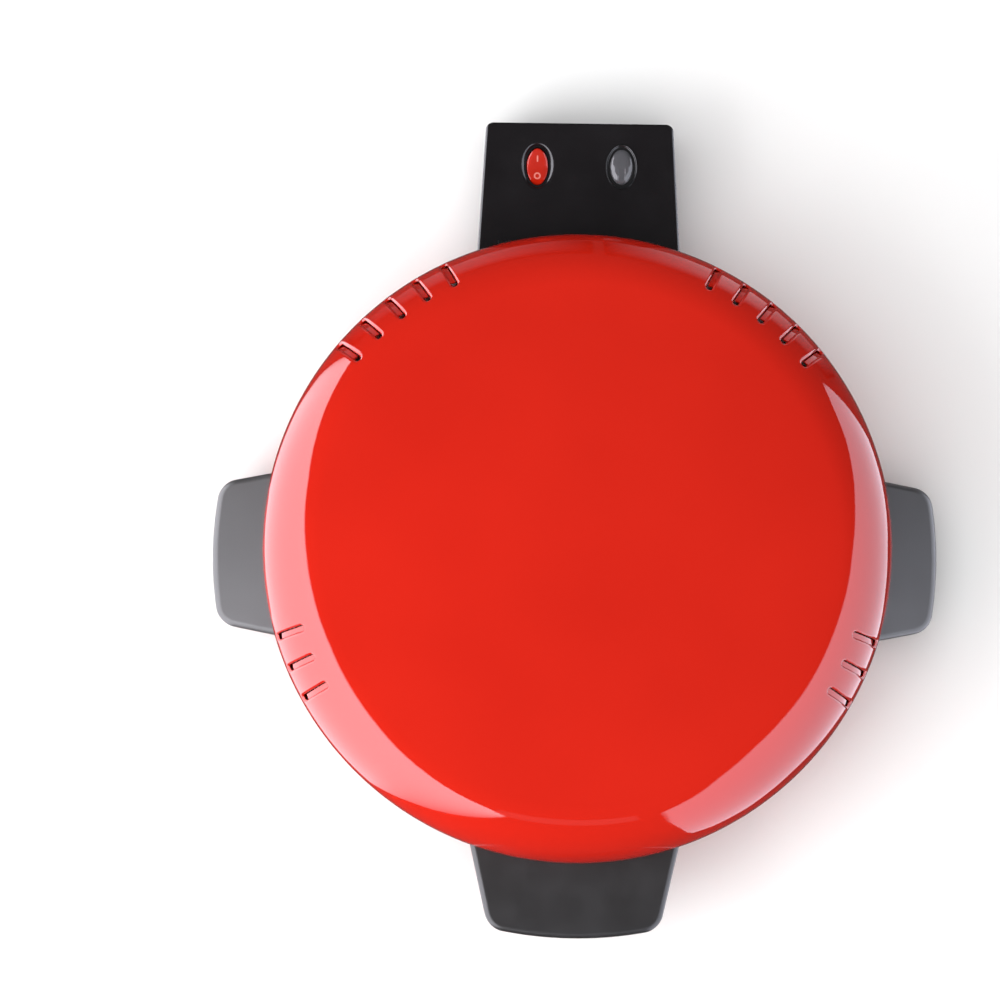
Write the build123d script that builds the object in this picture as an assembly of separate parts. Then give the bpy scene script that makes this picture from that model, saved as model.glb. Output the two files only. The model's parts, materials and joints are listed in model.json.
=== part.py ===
"""Electric pizza maker for a 300 mm (12 inch) pizza: a round drawn-steel lid hinged to a round base.

The lid carries a tubular heating element under a bright reflector, sixteen cooling slots and a moulded front
handle. The base carries a non-stick baking plate with a second element below it, two side handles and, at the
back, a plastic housing with a rocker switch, an indicator lamp and the gland for the mains cord.

Millimetres. +X is the user's right, +Y the back, +Z up. Every piece is modelled about the baking plate's axis
with the feet at z = 0, and is written moved along Y, so that the origin is the middle of the footprint.
"""

import os
from math import asin, atan2, cos, degrees, hypot, radians, sin, sqrt, tan

from build123d import *

# Driving dimensions
LID_R = 165.0
LID_SHEET = 1.2
RIM_Z = 54.3
SKIRT_H = 14.0
SHOULDER_R = 34.0
CROWN_R = 1300.0
HEM_WIDTH = 3.5

VENT_WIDTH = 3.4
VENT_FROM_DEG = 32.0
VENT_TO_DEG = 75.0
VENT_STEP_DEG = 6.1
REAR_VENTS = 5
FRONT_VENTS = 3
REAR_VENT_FROM_BACK_DEG = 26.2
FRONT_VENT_BELOW_SIDE_DEG = 17.5

BASE_R = 156.0
BASE_SHEET = 1.2
BASE_TOP_Z = 54.2
BASE_BOTTOM_Z = 12.0
BASE_CORNER_R = 14.0
BASE_FLANGE_R = 163.5
BASE_LIP_R = 112.0
FLANGE_CUT_R = 157.2
FLANGE_CUT_HALF = 46.0

PLATE_R = 150.0
PLATE_Z = 46.0
PLATE_THICK = 3.0
PLATE_WALL_R = 153.2
PLATE_RIM_R = 157.5
PLATE_RIM_THICK = 1.6

HINGE_Y = 161.0
HINGE_Z = 50.0
PIN_R = 2.0
KNUCKLE_R = 3.5
KNUCKLE_FROM = 24.0
KNUCKLE_TO = 38.0
EAR_THICK = 3.0
EAR_GAP = 0.5

REFLECTOR_R = 150.0
REFLECTOR_SHEET = 1.0
REFLECTOR_FLANGE_R = 160.0
REFLECTOR_FLANGE_Z = 58.6
REFLECTOR_TOP_Z = 88.0

TUBE_R = 3.3
UPPER_TUBE_Z = 74.0
OUTER_LOOP_R = 112.0
INNER_LOOP_R = 64.0
LOOP_END_DEG = 25.0
TERMINAL_X = 14.0
TERMINAL_Y = 134.0
TERMINAL_BEND = 10.0
LOWER_LOOP_R = 95.0
CLIP_ANGLES = (40.0, 140.0, 215.0, 325.0)

FRONT_HANDLE_REACH = 204.0
FRONT_HANDLE_HALF = 52.5
FRONT_HANDLE_TAPER = 12.8
FRONT_HANDLE_BOTTOM = 50.0
FRONT_HANDLE_SPLIT = 59.0
FRONT_HANDLE_TOP = 67.5
SIDE_HANDLE_REACH = 193.0
SIDE_HANDLE_HALF = 44.0
SIDE_HANDLE_Y = -3.0
SIDE_HANDLE_TAPER = 11.0
SIDE_HANDLE_BOTTOM = 20.0
SIDE_HANDLE_TOP = 36.0
HANDLE_CORNER = 12.0
HANDLE_EDGE = 3.0
HANDLE_WALL = 3.0

HOUSING_BACK_Y = 229.0
HOUSING_BACK_HALF = 50.0
HOUSING_TAPER = 3.7 / 64.0
HOUSING_BOTTOM_Z = 12.0
HOUSING_SPLIT_Z = 26.0
HOUSING_TOP_Z = 42.5
HOUSING_WALL = 2.5
HOUSING_EDGE = 1.5

CONTROL_X = 22.5
CONTROL_Y = 205.5
WELL_HALF = (9.1, 12.85)
WELL_DEPTH = 2.2
BEZEL_HALF = (7.1, 11.2)
ROCKER_HALF = (5.75, 9.9)
ROCKER_TILT = 9.0
ROCKER_GAP = 0.35
ROCKER_SKIRT = 1.2
LAMP_HALF = (8.55, 12.2)
LENS_HALF = (6.2, 9.5)

GLAND_X = 30.0
GLAND_BORE_R = 3.8
GLAND_NECK_R = 6.0
GLAND_FLANGE_R = 7.5
GLAND_PROUD = 1.5

FOOT_CIRCLE_R = 126.0
FOOT_FROM_AXIS_DEG = 35.0
FOOT_R = 13.0
HOUSING_FOOT = (36.0, 214.0)

# The footprint runs from the front handle to the gland, and its middle is the origin
FRONT_Y = -FRONT_HANDLE_REACH
BACK_Y = HOUSING_BACK_Y + GLAND_PROUD
FOOTPRINT_MID_Y = (FRONT_Y + BACK_Y) / 2

PARTS = {}


def revolved(face, arc=360.0):
    """A solid of revolution about the plate's axis, from a face drawn as (radius, height)."""
    return revolve(Plane.XZ * face, Axis.Z, revolution_arc=arc)


def turned(*points):
    """A solid of revolution whose outline has only straight sides."""
    return revolved(make_face(Polyline(*points, close=True)))


def box_between(low, high):
    """A block given by its lowest and highest corner."""
    size = [h - l for l, h in zip(low, high)]
    middle = [(h + l) / 2 for l, h in zip(low, high)]
    return Pos(*middle) * Box(*size)


def cylinder_up(radius, low, high, x=0.0, y=0.0):
    """An upright cylinder from height low to height high."""
    return Pos(x, y, (low + high) / 2) * Cylinder(radius, high - low)


def cylinder_along_y(radius, start, end, x, z):
    """A cylinder along Y."""
    return Pos(x, (start + end) / 2, z) * Rot(90, 0, 0) * Cylinder(radius, abs(end - start))


def cylinder_along_x(radius, start, end, y, z):
    """A cylinder along X."""
    return Pos((start + end) / 2, y, z) * Rot(0, 90, 0) * Cylinder(radius, abs(end - start))


def ellipse_up(half, low, high, x=0.0, y=0.0):
    """An upright elliptic cylinder from height low to height high."""
    return Pos(x, y, low) * extrude(Ellipse(half[0], half[1]), amount=high - low)


def around(shape, angles):
    """Copies of a shape made on the +X side, turned about the plate's axis."""
    return [Rot(0, 0, angle) * shape for angle in angles]


def write(name, *shapes):
    """Moves finished shapes into the part's frame and keeps them under one node's name."""
    moved = [Pos(0, -FOOTPRINT_MID_Y, 0) * shape for shape in shapes]
    PARTS[name] = moved[0] if len(moved) == 1 else Compound(children=moved)


# Lid shell: crown, shoulder, skirt and a turned-in hem, with cooling slots cut through the shoulder
SHOULDER_CENTRE = (LID_R - SHOULDER_R, RIM_Z + SKIRT_H)
CROWN_CENTRE_Z = SHOULDER_CENTRE[1] - sqrt((CROWN_R - SHOULDER_R) ** 2 - SHOULDER_CENTRE[0] ** 2)
CROWN_EDGE_DEG = degrees(asin(SHOULDER_CENTRE[0] / (CROWN_R - SHOULDER_R)))
LID_TOP_Z = CROWN_CENTRE_Z + CROWN_R


def lid_outline(depth):
    """The lid's crown and shoulder at a depth below the outer face, as two tangent arcs."""
    crown = CenterArc((0, CROWN_CENTRE_Z), CROWN_R - depth, 90 - CROWN_EDGE_DEG, CROWN_EDGE_DEG)
    shoulder = CenterArc(SHOULDER_CENTRE, SHOULDER_R - depth, 0, 90 - CROWN_EDGE_DEG)
    return crown, shoulder


def lid_body():
    """The lid's full outer form as a closed solid, for cutting what seats against it."""
    crown, shoulder = lid_outline(0)
    skirt = Polyline((LID_R, SHOULDER_CENTRE[1]), (LID_R, RIM_Z), (0, RIM_Z), (0, LID_TOP_Z))
    return revolved(make_face(crown + shoulder + skirt))


def vent_angles():
    """Where the slots stand round the lid: five each side at the back, three each side towards the front."""
    angles = []
    for k in range(REAR_VENTS):
        turn = REAR_VENT_FROM_BACK_DEG + k * VENT_STEP_DEG
        angles += [90 - turn, 90 + turn]
    for k in range(FRONT_VENTS):
        turn = FRONT_VENT_BELOW_SIDE_DEG + k * VENT_STEP_DEG
        angles += [-turn, 180 + turn]
    return angles


def vent_cutter():
    """A round-ended slot that follows the shoulder's slope at its middle."""
    middle = radians((VENT_FROM_DEG + VENT_TO_DEG) / 2)
    half_arc = radians((VENT_TO_DEG - VENT_FROM_DEG) / 2)
    length = 2 * SHOULDER_R * sin(half_arc)
    out = (sin(middle), 0, cos(middle))
    along = (cos(middle), 0, -sin(middle))
    reach = SHOULDER_R * cos(half_arc) - 4
    start = (SHOULDER_CENTRE[0] + reach * out[0], 0, SHOULDER_CENTRE[1] + reach * out[2])
    plane = Plane(origin=start, x_dir=along, z_dir=out)
    return extrude(plane * SlotOverall(length, VENT_WIDTH), amount=SHOULDER_R - reach + 4)


def lid_shell():
    inner_r = LID_R - LID_SHEET
    crown, shoulder = lid_outline(0)
    inner_crown, inner_shoulder = lid_outline(LID_SHEET)
    shoulder_z = SHOULDER_CENTRE[1]
    hem = Polyline(
        (LID_R, shoulder_z),
        (LID_R, RIM_Z),
        (LID_R - HEM_WIDTH, RIM_Z),
        (LID_R - HEM_WIDTH, RIM_Z + LID_SHEET),
        (inner_r, RIM_Z + LID_SHEET),
        (inner_r, shoulder_z),
    )
    middle = Line((0, LID_TOP_Z), (0, LID_TOP_Z - LID_SHEET))
    shell = revolved(make_face(crown + shoulder + hem + inner_shoulder + inner_crown + middle))
    shell -= around(vent_cutter(), vent_angles())
    for side in (-1, 1):
        low_x, high_x = sorted((side * (KNUCKLE_FROM - EAR_GAP), side * (KNUCKLE_TO + EAR_GAP)))
        notch = box_between((low_x, 140, RIM_Z - 1), (high_x, LID_R, RIM_Z + 2 * LID_SHEET))
        shell -= notch & cylinder_up(inner_r, RIM_Z - 1, RIM_Z + 2 * LID_SHEET)
    for x in (-HANDLE_SCREW_X, HANDLE_SCREW_X):
        shell -= cylinder_along_y(HANDLE_SCREW_R + 0.2, -LID_R - 1, -LID_R + 12, x, HANDLE_SCREW_Z)
    return shell


# Reflector: a bright dish that closes the lid from below and carries the upper element
BEAD_IN, BEAD_OUT, BEAD_RISE = 30.0, 32.0, 2.0
DISH_CORNER_R = 8.0


def corner_of(face, x, y):
    """The corner of a flat face at a given place."""
    return face.vertices().filter_by(lambda v: hypot(v.X - x, v.Y - y) < 0.1)


def reflector():
    top = REFLECTOR_TOP_Z
    sheet = REFLECTOR_SHEET
    flange_z = REFLECTOR_FLANGE_Z
    inner_r = REFLECTOR_R - sheet
    outline = Polyline(
        (0, top - BEAD_RISE),
        (BEAD_IN, top - BEAD_RISE),
        (BEAD_OUT, top),
        (REFLECTOR_R, top),
        (REFLECTOR_R, flange_z + sheet),
        (REFLECTOR_FLANGE_R, flange_z + sheet),
        (REFLECTOR_FLANGE_R, flange_z),
        (inner_r, flange_z),
        (inner_r, top - sheet),
        (BEAD_OUT + sheet / 2, top - sheet),
        (BEAD_IN + sheet / 2, top - BEAD_RISE - sheet),
        (0, top - BEAD_RISE - sheet),
        close=True,
    )
    face = make_face(outline)
    face = fillet(corner_of(face, REFLECTOR_R, top), DISH_CORNER_R)
    face = fillet(corner_of(face, inner_r, top - sheet), DISH_CORNER_R - sheet)
    dish = revolved(face)
    hole = cylinder_up(LID_SCREW_R + 0.4, flange_z - 1, flange_z + 3, x=LID_SCREW_CIRCLE)
    dish -= around(hole, LID_SCREW_ANGLES)
    for x in (-TERMINAL_X, TERMINAL_X):
        dish -= cylinder_up(TUBE_R + 0.3, top - 4, top + 2, x=x, y=TERMINAL_Y)
    return dish


LID_SCREW_ANGLES = (0, 60, 120, 180, 240, 300)
LID_SCREW_CIRCLE = 155.5
LID_SCREW_R = 1.7
BRACKET_ARC_DEG = 4.6


def lid_brackets():
    """Six L-shaped brackets welded inside the skirt, which the reflector's screws go into."""
    skirt_r = LID_R - LID_SHEET
    low = REFLECTOR_FLANGE_Z + REFLECTOR_SHEET
    sheet = 1.2
    profile = Polyline(
        (REFLECTOR_R + 1.5, low),
        (skirt_r, low),
        (skirt_r, low + 7),
        (skirt_r - sheet, low + 7),
        (skirt_r - sheet, low + sheet),
        (REFLECTOR_R + 1.5, low + sheet),
        close=True,
    )
    bracket = Rot(0, 0, -BRACKET_ARC_DEG / 2) * revolved(make_face(profile), BRACKET_ARC_DEG)
    bracket -= cylinder_up(LID_SCREW_R + 0.05, low - 1, low + 3, x=LID_SCREW_CIRCLE)
    return around(bracket, LID_SCREW_ANGLES)


# Heating elements: steel-sheathed tubes bent into tangent arcs
def flat_arc(centre, radius, start, sweep_deg, z):
    return Pos(0, 0, z) * CenterArc(centre, radius, start, sweep_deg)


def bent_tube(runs, radius):
    """A round rod along straight and curved runs that meet tangentially, made run by run."""
    pieces = []
    for run in [r.edge() for r in runs]:
        section = Plane(origin=run @ 0, z_dir=run % 0) * Circle(radius)
        if run.geom_type == GeomType.CIRCLE:
            spoke = (run @ 0) - run.arc_center
            hinge = Axis(run.arc_center, spoke.cross(run % 0))
            pieces.append(revolve(section, hinge, revolution_arc=degrees(run.length / run.radius)))
        else:
            pieces.append(extrude(section, amount=run.length))
    return pieces[0] + pieces[1:]


def upper_element():
    """Two nearly full loops, one inside the other, joined at the front by two tight turns."""
    bend = 12.0
    fillet_x = -TERMINAL_X - bend
    fillet_y = sqrt((OUTER_LOOP_R + bend) ** 2 - fillet_x**2)
    join_deg = degrees(atan2(fillet_y, fillet_x))
    turn_r = (OUTER_LOOP_R - INNER_LOOP_R) / 2
    turn_mid = (OUTER_LOOP_R + INNER_LOOP_R) / 2
    turn_deg = 270 - LOOP_END_DEG
    turn_centre = (turn_mid * cos(radians(turn_deg)), turn_mid * sin(radians(turn_deg)))
    z = UPPER_TUBE_Z
    top = REFLECTOR_TOP_Z + 8.0
    x = -TERMINAL_X
    bend_centre = (x, TERMINAL_Y - TERMINAL_BEND, z + TERMINAL_BEND)
    drop = Line((x, TERMINAL_Y, top), (x, TERMINAL_Y, bend_centre[2]))
    elbow_plane = Plane(origin=bend_centre, x_dir=(0, 1, 0), z_dir=(-1, 0, 0))
    elbow = elbow_plane * CenterArc((0, 0), TERMINAL_BEND, 0, 90)
    lead = Line((x, bend_centre[1], z), (x, fillet_y, z))
    left = [
        drop,
        elbow,
        lead,
        flat_arc((fillet_x, fillet_y), bend, 0, join_deg - 180, z),
        flat_arc((0, 0), OUTER_LOOP_R, join_deg, turn_deg - join_deg, z),
        flat_arc(turn_centre, turn_r, turn_deg, 180, z),
    ]
    inner = flat_arc((0, 0), INNER_LOOP_R, turn_deg, -(2 * turn_deg - 180), z)
    right = [mirror(run, about=Plane.YZ) for run in left]
    return bent_tube(left + [inner] + right, TUBE_R)


def element_clip():
    """A strap over both loops on the +X side, hung from the reflector on a post, with a saddle round each."""
    z = UPPER_TUBE_Z
    strap_z = z + TUBE_R + 0.4
    middle = (OUTER_LOOP_R + INNER_LOOP_R) / 2
    clip = box_between((INNER_LOOP_R - 4, -4, strap_z), (OUTER_LOOP_R + 4, 4, strap_z + 1.5))
    clip += cylinder_up(3.0, strap_z, REFLECTOR_TOP_Z - REFLECTOR_SHEET, x=middle)
    for radius in (INNER_LOOP_R, OUTER_LOOP_R):
        saddle = cylinder_along_y(TUBE_R + 1.3, -4, 4, radius, z)
        clip += saddle & box_between((radius - 5, -5, z - 6), (radius + 5, 5, strap_z + 1))
        clip -= cylinder_along_y(TUBE_R + 0.25, -5, 5, radius, z)
    return clip


def element_bushings():
    """Collars that hold the element's two ends where they pass through the reflector."""
    top = REFLECTOR_TOP_Z
    bushings = []
    for x in (-TERMINAL_X, TERMINAL_X):
        collar = cylinder_up(6.0, top, top + 4, x=x, y=TERMINAL_Y)
        bushings.append(collar - cylinder_up(TUBE_R + 0.05, top - 1, top + 5, x=x, y=TERMINAL_Y))
    return bushings


def lower_element():
    """One loop under the baking plate, with its ends led out towards the rear housing."""
    bend = 12.0
    z = LOWER_TUBE_Z
    fillet_x = -TERMINAL_X - bend
    fillet_y = sqrt((LOWER_LOOP_R + bend) ** 2 - fillet_x**2)
    join_deg = degrees(atan2(fillet_y, fillet_x))
    end_y = 146.0
    path = [
        Line((-TERMINAL_X, end_y, z), (-TERMINAL_X, fillet_y, z)),
        flat_arc((fillet_x, fillet_y), bend, 0, join_deg - 180, z),
        flat_arc((0, 0), LOWER_LOOP_R, join_deg, 2 * (270 - join_deg), z),
        mirror(flat_arc((fillet_x, fillet_y), bend, 0, join_deg - 180, z), about=Plane.YZ),
        Line((TERMINAL_X, fillet_y, z), (TERMINAL_X, end_y, z)),
    ]
    return bent_tube(path, TUBE_R)


LOWER_TUBE_Z = PLATE_Z - PLATE_THICK - TUBE_R - 0.1
CLAMP_ANGLES = (0, 120, 240)


def lower_clamps():
    """Three staples that hold the lower element against the plate."""
    plate_z = PLATE_Z - PLATE_THICK
    low = LOWER_TUBE_Z - TUBE_R - 0.3
    reach = 9.0
    staple = box_between((LOWER_LOOP_R - reach, -5, low - 1.2), (LOWER_LOOP_R + reach, 5, low))
    for side in (-1, 1):
        edge = LOWER_LOOP_R + side * reach
        staple += box_between((edge - 0.6, -5, low - 1.2), (edge + 0.6, 5, plate_z))
    return around(staple, CLAMP_ANGLES)


# Baking plate: a shallow cast pan whose rim rests on the base's flange
TIE_ANGLES = (90, 210, 330)
TIE_CIRCLE_R = 60.0
TIE_BOLT_R = 2.5
BOSS_R = 6.0
TIE_HEAD_R = 4.6
TIE_HEAD_H = 2.6
SPACER_R = 4.5


def baking_plate():
    top = BASE_TOP_Z
    under = PLATE_Z - PLATE_THICK
    face = make_face(
        Polyline(
            (0, PLATE_Z),
            (PLATE_R, PLATE_Z),
            (PLATE_R + 1.2, top + PLATE_RIM_THICK),
            (PLATE_RIM_R, top + PLATE_RIM_THICK),
            (PLATE_RIM_R, top),
            (PLATE_WALL_R, top),
            (PLATE_WALL_R - 1.0, under),
            (0, under),
            close=True,
        )
    )
    face = fillet(corner_of(face, PLATE_R, PLATE_Z), 4.5)
    face = chamfer(corner_of(face, PLATE_WALL_R - 1.0, under), 2.0)
    plate = revolved(face)
    boss_z = LOWER_REFLECTOR_Z + LOWER_REFLECTOR_SHEET
    plate += around(cylinder_up(BOSS_R, boss_z, under + 1, x=TIE_CIRCLE_R), TIE_ANGLES)
    hole = cylinder_up(TIE_BOLT_R + 0.05, boss_z - 1, under + 0.5, x=TIE_CIRCLE_R)
    return plate - around(hole, TIE_ANGLES)


# Base: a drawn steel bowl, open below, closed by a screwed bottom cover
def base_body(clear=0.0):
    """The base's outer form below its flange as a closed solid, grown by a clearance."""
    radius = BASE_R + clear
    low = BASE_BOTTOM_Z - clear
    corner = BASE_CORNER_R + clear
    bend = (radius - corner, low + corner)
    foot = CenterArc(bend, corner, -90, 90)
    high = BASE_TOP_Z + 5
    rest = Polyline((radius, low + corner), (radius, high), (0, high), (0, low), (bend[0], low))
    return revolved(make_face(foot + rest))


def base_shell():
    sheet = BASE_SHEET
    low = BASE_BOTTOM_Z
    top = BASE_TOP_Z
    bend = (BASE_R - BASE_CORNER_R, low + BASE_CORNER_R)
    outer = CenterArc(bend, BASE_CORNER_R, -90, 90)
    inner = CenterArc(bend, BASE_CORNER_R - sheet, -90, 90)
    wall = Polyline(
        (BASE_R, bend[1]),
        (BASE_R, top - sheet),
        (BASE_FLANGE_R, top - sheet),
        (BASE_FLANGE_R, top),
        (BASE_R - sheet, top),
        (BASE_R - sheet, bend[1]),
    )
    lip = Polyline((bend[0], low + sheet), (BASE_LIP_R, low + sheet), (BASE_LIP_R, low), (bend[0], low))
    shell = revolved(make_face(outer + wall + inner + lip))
    flange = turned(
        (FLANGE_CUT_R, top - 2 * sheet), (BASE_FLANGE_R + 1, top - 2 * sheet),
        (BASE_FLANGE_R + 1, top + 1), (FLANGE_CUT_R, top + 1),
    )
    shell -= flange & box_between((-FLANGE_CUT_HALF, 100, 40), (FLANGE_CUT_HALF, 180, 60))
    for x, y in foot_places():
        shell -= cylinder_up(FOOT_SCREW_R + 0.1, low - 1, low + 3, x=x, y=y)
    for y in SIDE_SCREW_YS:
        shell -= cylinder_along_x(SIDE_SCREW_R + 0.2, -BASE_R - 1, BASE_R + 1, y, SIDE_SCREW_Z)
    for x in (-HOUSING_BOLT_X, HOUSING_BOLT_X):
        shell -= cylinder_along_y(HOUSING_BOLT_R + 0.2, 100, BASE_R + 5, x, HOUSING_BOLT_Z)
    shell -= around(cylinder_along_x(RIVET_R, BASE_R - 5, BASE_R + 5, 0, RIVET_Z), RIVET_ANGLES)
    return shell


FOOT_SCREW_R = 2.0
COVER_Z = BASE_BOTTOM_Z - BASE_SHEET
COVER_R = 139.5


def foot_places():
    """The four feet under the base."""
    x = FOOT_CIRCLE_R * sin(radians(FOOT_FROM_AXIS_DEG))
    y = FOOT_CIRCLE_R * cos(radians(FOOT_FROM_AXIS_DEG))
    return [(-x, -y), (x, -y), (-x, y), (x, y)]


def bottom_cover():
    cover = cylinder_up(COVER_R, COVER_Z, BASE_BOTTOM_Z)
    vent = Pos(84, 0, COVER_Z - 1) * extrude(SlotOverall(26, 4), amount=4)
    cover -= around(vent, [22.5 + 45 * k for k in range(8)])
    cover -= around(cylinder_up(TIE_BOLT_R + 0.2, COVER_Z - 1, COVER_Z + 3, x=TIE_CIRCLE_R), TIE_ANGLES)
    for x, y in foot_places():
        cover -= cylinder_up(FOOT_SCREW_R + 0.1, COVER_Z - 1, COVER_Z + 3, x=x, y=y)
    return cover


def foot(height):
    """A rubber foot with a screw well open from below."""
    well_r, well_z = 5.0, 4.5
    return turned(
        (well_r, 0), (FOOT_R - 2.5, 0), (FOOT_R - 1.5, 1.0), (FOOT_R, height),
        (FOOT_SCREW_R + 0.2, height), (FOOT_SCREW_R + 0.2, well_z), (well_r, well_z),
    )


def lower_reflector():
    """A bright dish under the lower element, with an upturned edge."""
    low, edge = LOWER_REFLECTOR_Z, 138.0
    sheet = LOWER_REFLECTOR_SHEET
    dish = turned(
        (0, low), (edge - 8, low), (edge, low + 8), (edge, low + 12), (edge - sheet, low + 12),
        (edge - sheet, low + 8.4), (edge - 8.4, low + sheet), (0, low + sheet),
    )
    return dish - around(cylinder_up(TIE_BOLT_R + 0.2, low - 1, low + 3, x=TIE_CIRCLE_R), TIE_ANGLES)


LOWER_REFLECTOR_Z = 22.0
LOWER_REFLECTOR_SHEET = 0.8


def tie_bolts():
    """Three bolts from the bottom cover up through the spacers and the reflector into the plate's bosses."""
    bolt = cylinder_up(TIE_BOLT_R, COVER_Z, PLATE_Z - PLATE_THICK, x=TIE_CIRCLE_R)
    bolt += cylinder_up(TIE_HEAD_R, COVER_Z - TIE_HEAD_H, COVER_Z, x=TIE_CIRCLE_R)
    return around(bolt, TIE_ANGLES)


def stack_spacers():
    """Tubes on the tie bolts that hold the reflector off the cover."""
    tube = cylinder_up(SPACER_R, BASE_BOTTOM_Z, LOWER_REFLECTOR_Z, x=TIE_CIRCLE_R)
    tube -= cylinder_up(TIE_BOLT_R + 0.1, BASE_BOTTOM_Z - 1, LOWER_REFLECTOR_Z + 1, x=TIE_CIRCLE_R)
    return around(tube, TIE_ANGLES)


def thermostat():
    """A snap-disc thermostat held against the plate's underside."""
    top = PLATE_Z - PLATE_THICK
    y = 20.0
    body = cylinder_up(7.5, top - 9, top - 1.5, y=y) + cylinder_up(9.0, top - 1.5, top, y=y)
    for x in (-4.5, 4.5):
        body += box_between((x - 0.4, y - 3, top - 15), (x + 0.4, y + 3, top - 9))
    return body


def thermal_fuse():
    """A one-shot fuse on the lower reflector, with its two leads."""
    z = LOWER_REFLECTOR_Z + LOWER_REFLECTOR_SHEET + 2.2
    return cylinder_along_x(2.2, -8, 8, 50, z) + cylinder_along_x(0.6, -18, 18, 50, z)


# Hinge: two ears either side of each knuckle, on one pin just under the lid's back edge
EAR_PLACES = (
    (KNUCKLE_FROM - EAR_GAP - EAR_THICK, KNUCKLE_FROM - EAR_GAP),
    (KNUCKLE_TO + EAR_GAP, KNUCKLE_TO + EAR_GAP + EAR_THICK),
)
BAND_LOW, BAND_HIGH = 44.0, 52.6
BAND_SHEET = 1.5
RIVET_ANGLES = (78.5, 90.0, 101.5)
RIVET_Z = 48.3
RIVET_R = 1.6


def hinge_bracket():
    """A band curved to the base's wall, with four ears that carry the pin."""
    half_deg = degrees(asin((EAR_PLACES[1][1] + 2) / BASE_R))
    band = Polyline(
        (BASE_R, BAND_LOW), (BASE_R + BAND_SHEET, BAND_LOW),
        (BASE_R + BAND_SHEET, BAND_HIGH), (BASE_R, BAND_HIGH), close=True,
    )
    bracket = Rot(0, 0, 90 - half_deg) * revolved(make_face(band), 2 * half_deg)
    ear_face = make_face(
        Polyline((148, BAND_LOW), (157, BAND_LOW), (163.4, 47.4), (HINGE_Y, HINGE_Z), (157, BAND_HIGH),
                 (148, BAND_HIGH), close=True)
    )
    ear_face += Pos(HINGE_Y, HINGE_Z) * Circle(KNUCKLE_R)
    ear = extrude(Plane.YZ * ear_face, amount=EAR_THICK) - cylinder_up(BASE_R, 40, 60)
    for low_x, high_x in EAR_PLACES:
        bracket += Pos(low_x, 0, 0) * ear
        bracket += Pos(-high_x, 0, 0) * ear
    bracket -= cylinder_along_x(PIN_R + 0.02, -60, 60, HINGE_Y, HINGE_Z)
    bracket -= around(cylinder_along_x(RIVET_R, BASE_R - 5, BASE_R + 5, 0, RIVET_Z), RIVET_ANGLES)
    return bracket


def hinge_pin():
    end = EAR_PLACES[1][1]
    pin = cylinder_along_x(PIN_R, -end - 1.5, end + 1.5, HINGE_Y, HINGE_Z)
    for side in (-1, 1):
        pin += cylinder_along_x(PIN_R + 1.2, side * (end + 0.3), side * (end + 1.6), HINGE_Y, HINGE_Z)
    return pin


def lid_hinge_leaf():
    """A plate spot-welded inside the lid's skirt, with two legs that end in the hinge's knuckles."""
    outer_r = LID_R - LID_SHEET - 0.05
    inner_r = outer_r - 1.5
    low, high = RIM_Z + LID_SHEET + 0.4, RIM_Z + SKIRT_H
    half_x = KNUCKLE_TO + 4
    plate = turned((inner_r, HINGE_Z), (outer_r, HINGE_Z), (outer_r, high), (inner_r, high))
    leaf = plate & box_between((-half_x, 140, low), (half_x, 170, high))
    for side in (-1, 1):
        low_x, high_x = sorted((side * KNUCKLE_FROM, side * KNUCKLE_TO))
        leaf += plate & box_between((low_x, 140, HINGE_Z), (high_x, 170, low + 1))
        leaf += cylinder_along_x(KNUCKLE_R, low_x, high_x, HINGE_Y, HINGE_Z)
    return leaf - cylinder_along_x(PIN_R + 0.06, -60, 60, HINGE_Y, HINGE_Z)


# Handles: moulded, hollow, with an outer edge that is concentric with the lid
def handle_block(reach, half, taper_deg, root_r, low, high):
    """A handle on the +X side: a tapering tongue with rounded outer corners and edges."""
    start = root_r - 15
    narrow = tan(radians(taper_deg))
    root_half = half + (root_r - start) * narrow
    tip_half = half - (reach + 5 - root_r) * narrow
    tip = reach + 5
    outline = Polyline((start, -root_half), (tip, -tip_half), (tip, tip_half), (start, root_half), close=True)
    tongue = make_face(outline)
    tongue &= Circle(reach)
    tongue = fillet(tongue.vertices().group_by(Axis.X)[-1], HANDLE_CORNER)
    block = Pos(0, 0, low) * extrude(tongue, amount=high - low)
    rims = block.edges().group_by(Axis.Z)
    edges = [e for e in rims[0] + rims[-1] if e.center().X > start + 1]
    return fillet(edges, HANDLE_EDGE), tongue


def handle_hollow(tongue, root_r, low, high):
    """The space inside a handle's walls."""
    inner = offset(tongue, amount=-HANDLE_WALL)
    hollow = Pos(0, 0, low) * extrude(inner, amount=high - low)
    return hollow - cylinder_up(root_r + HANDLE_WALL, low - 5, high + 5)


SIDE_SCREW_YS = (SIDE_HANDLE_Y - 24.0, SIDE_HANDLE_Y + 24.0)
SIDE_SCREW_Z = 28.5
SIDE_SCREW_R = 2.0


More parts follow.
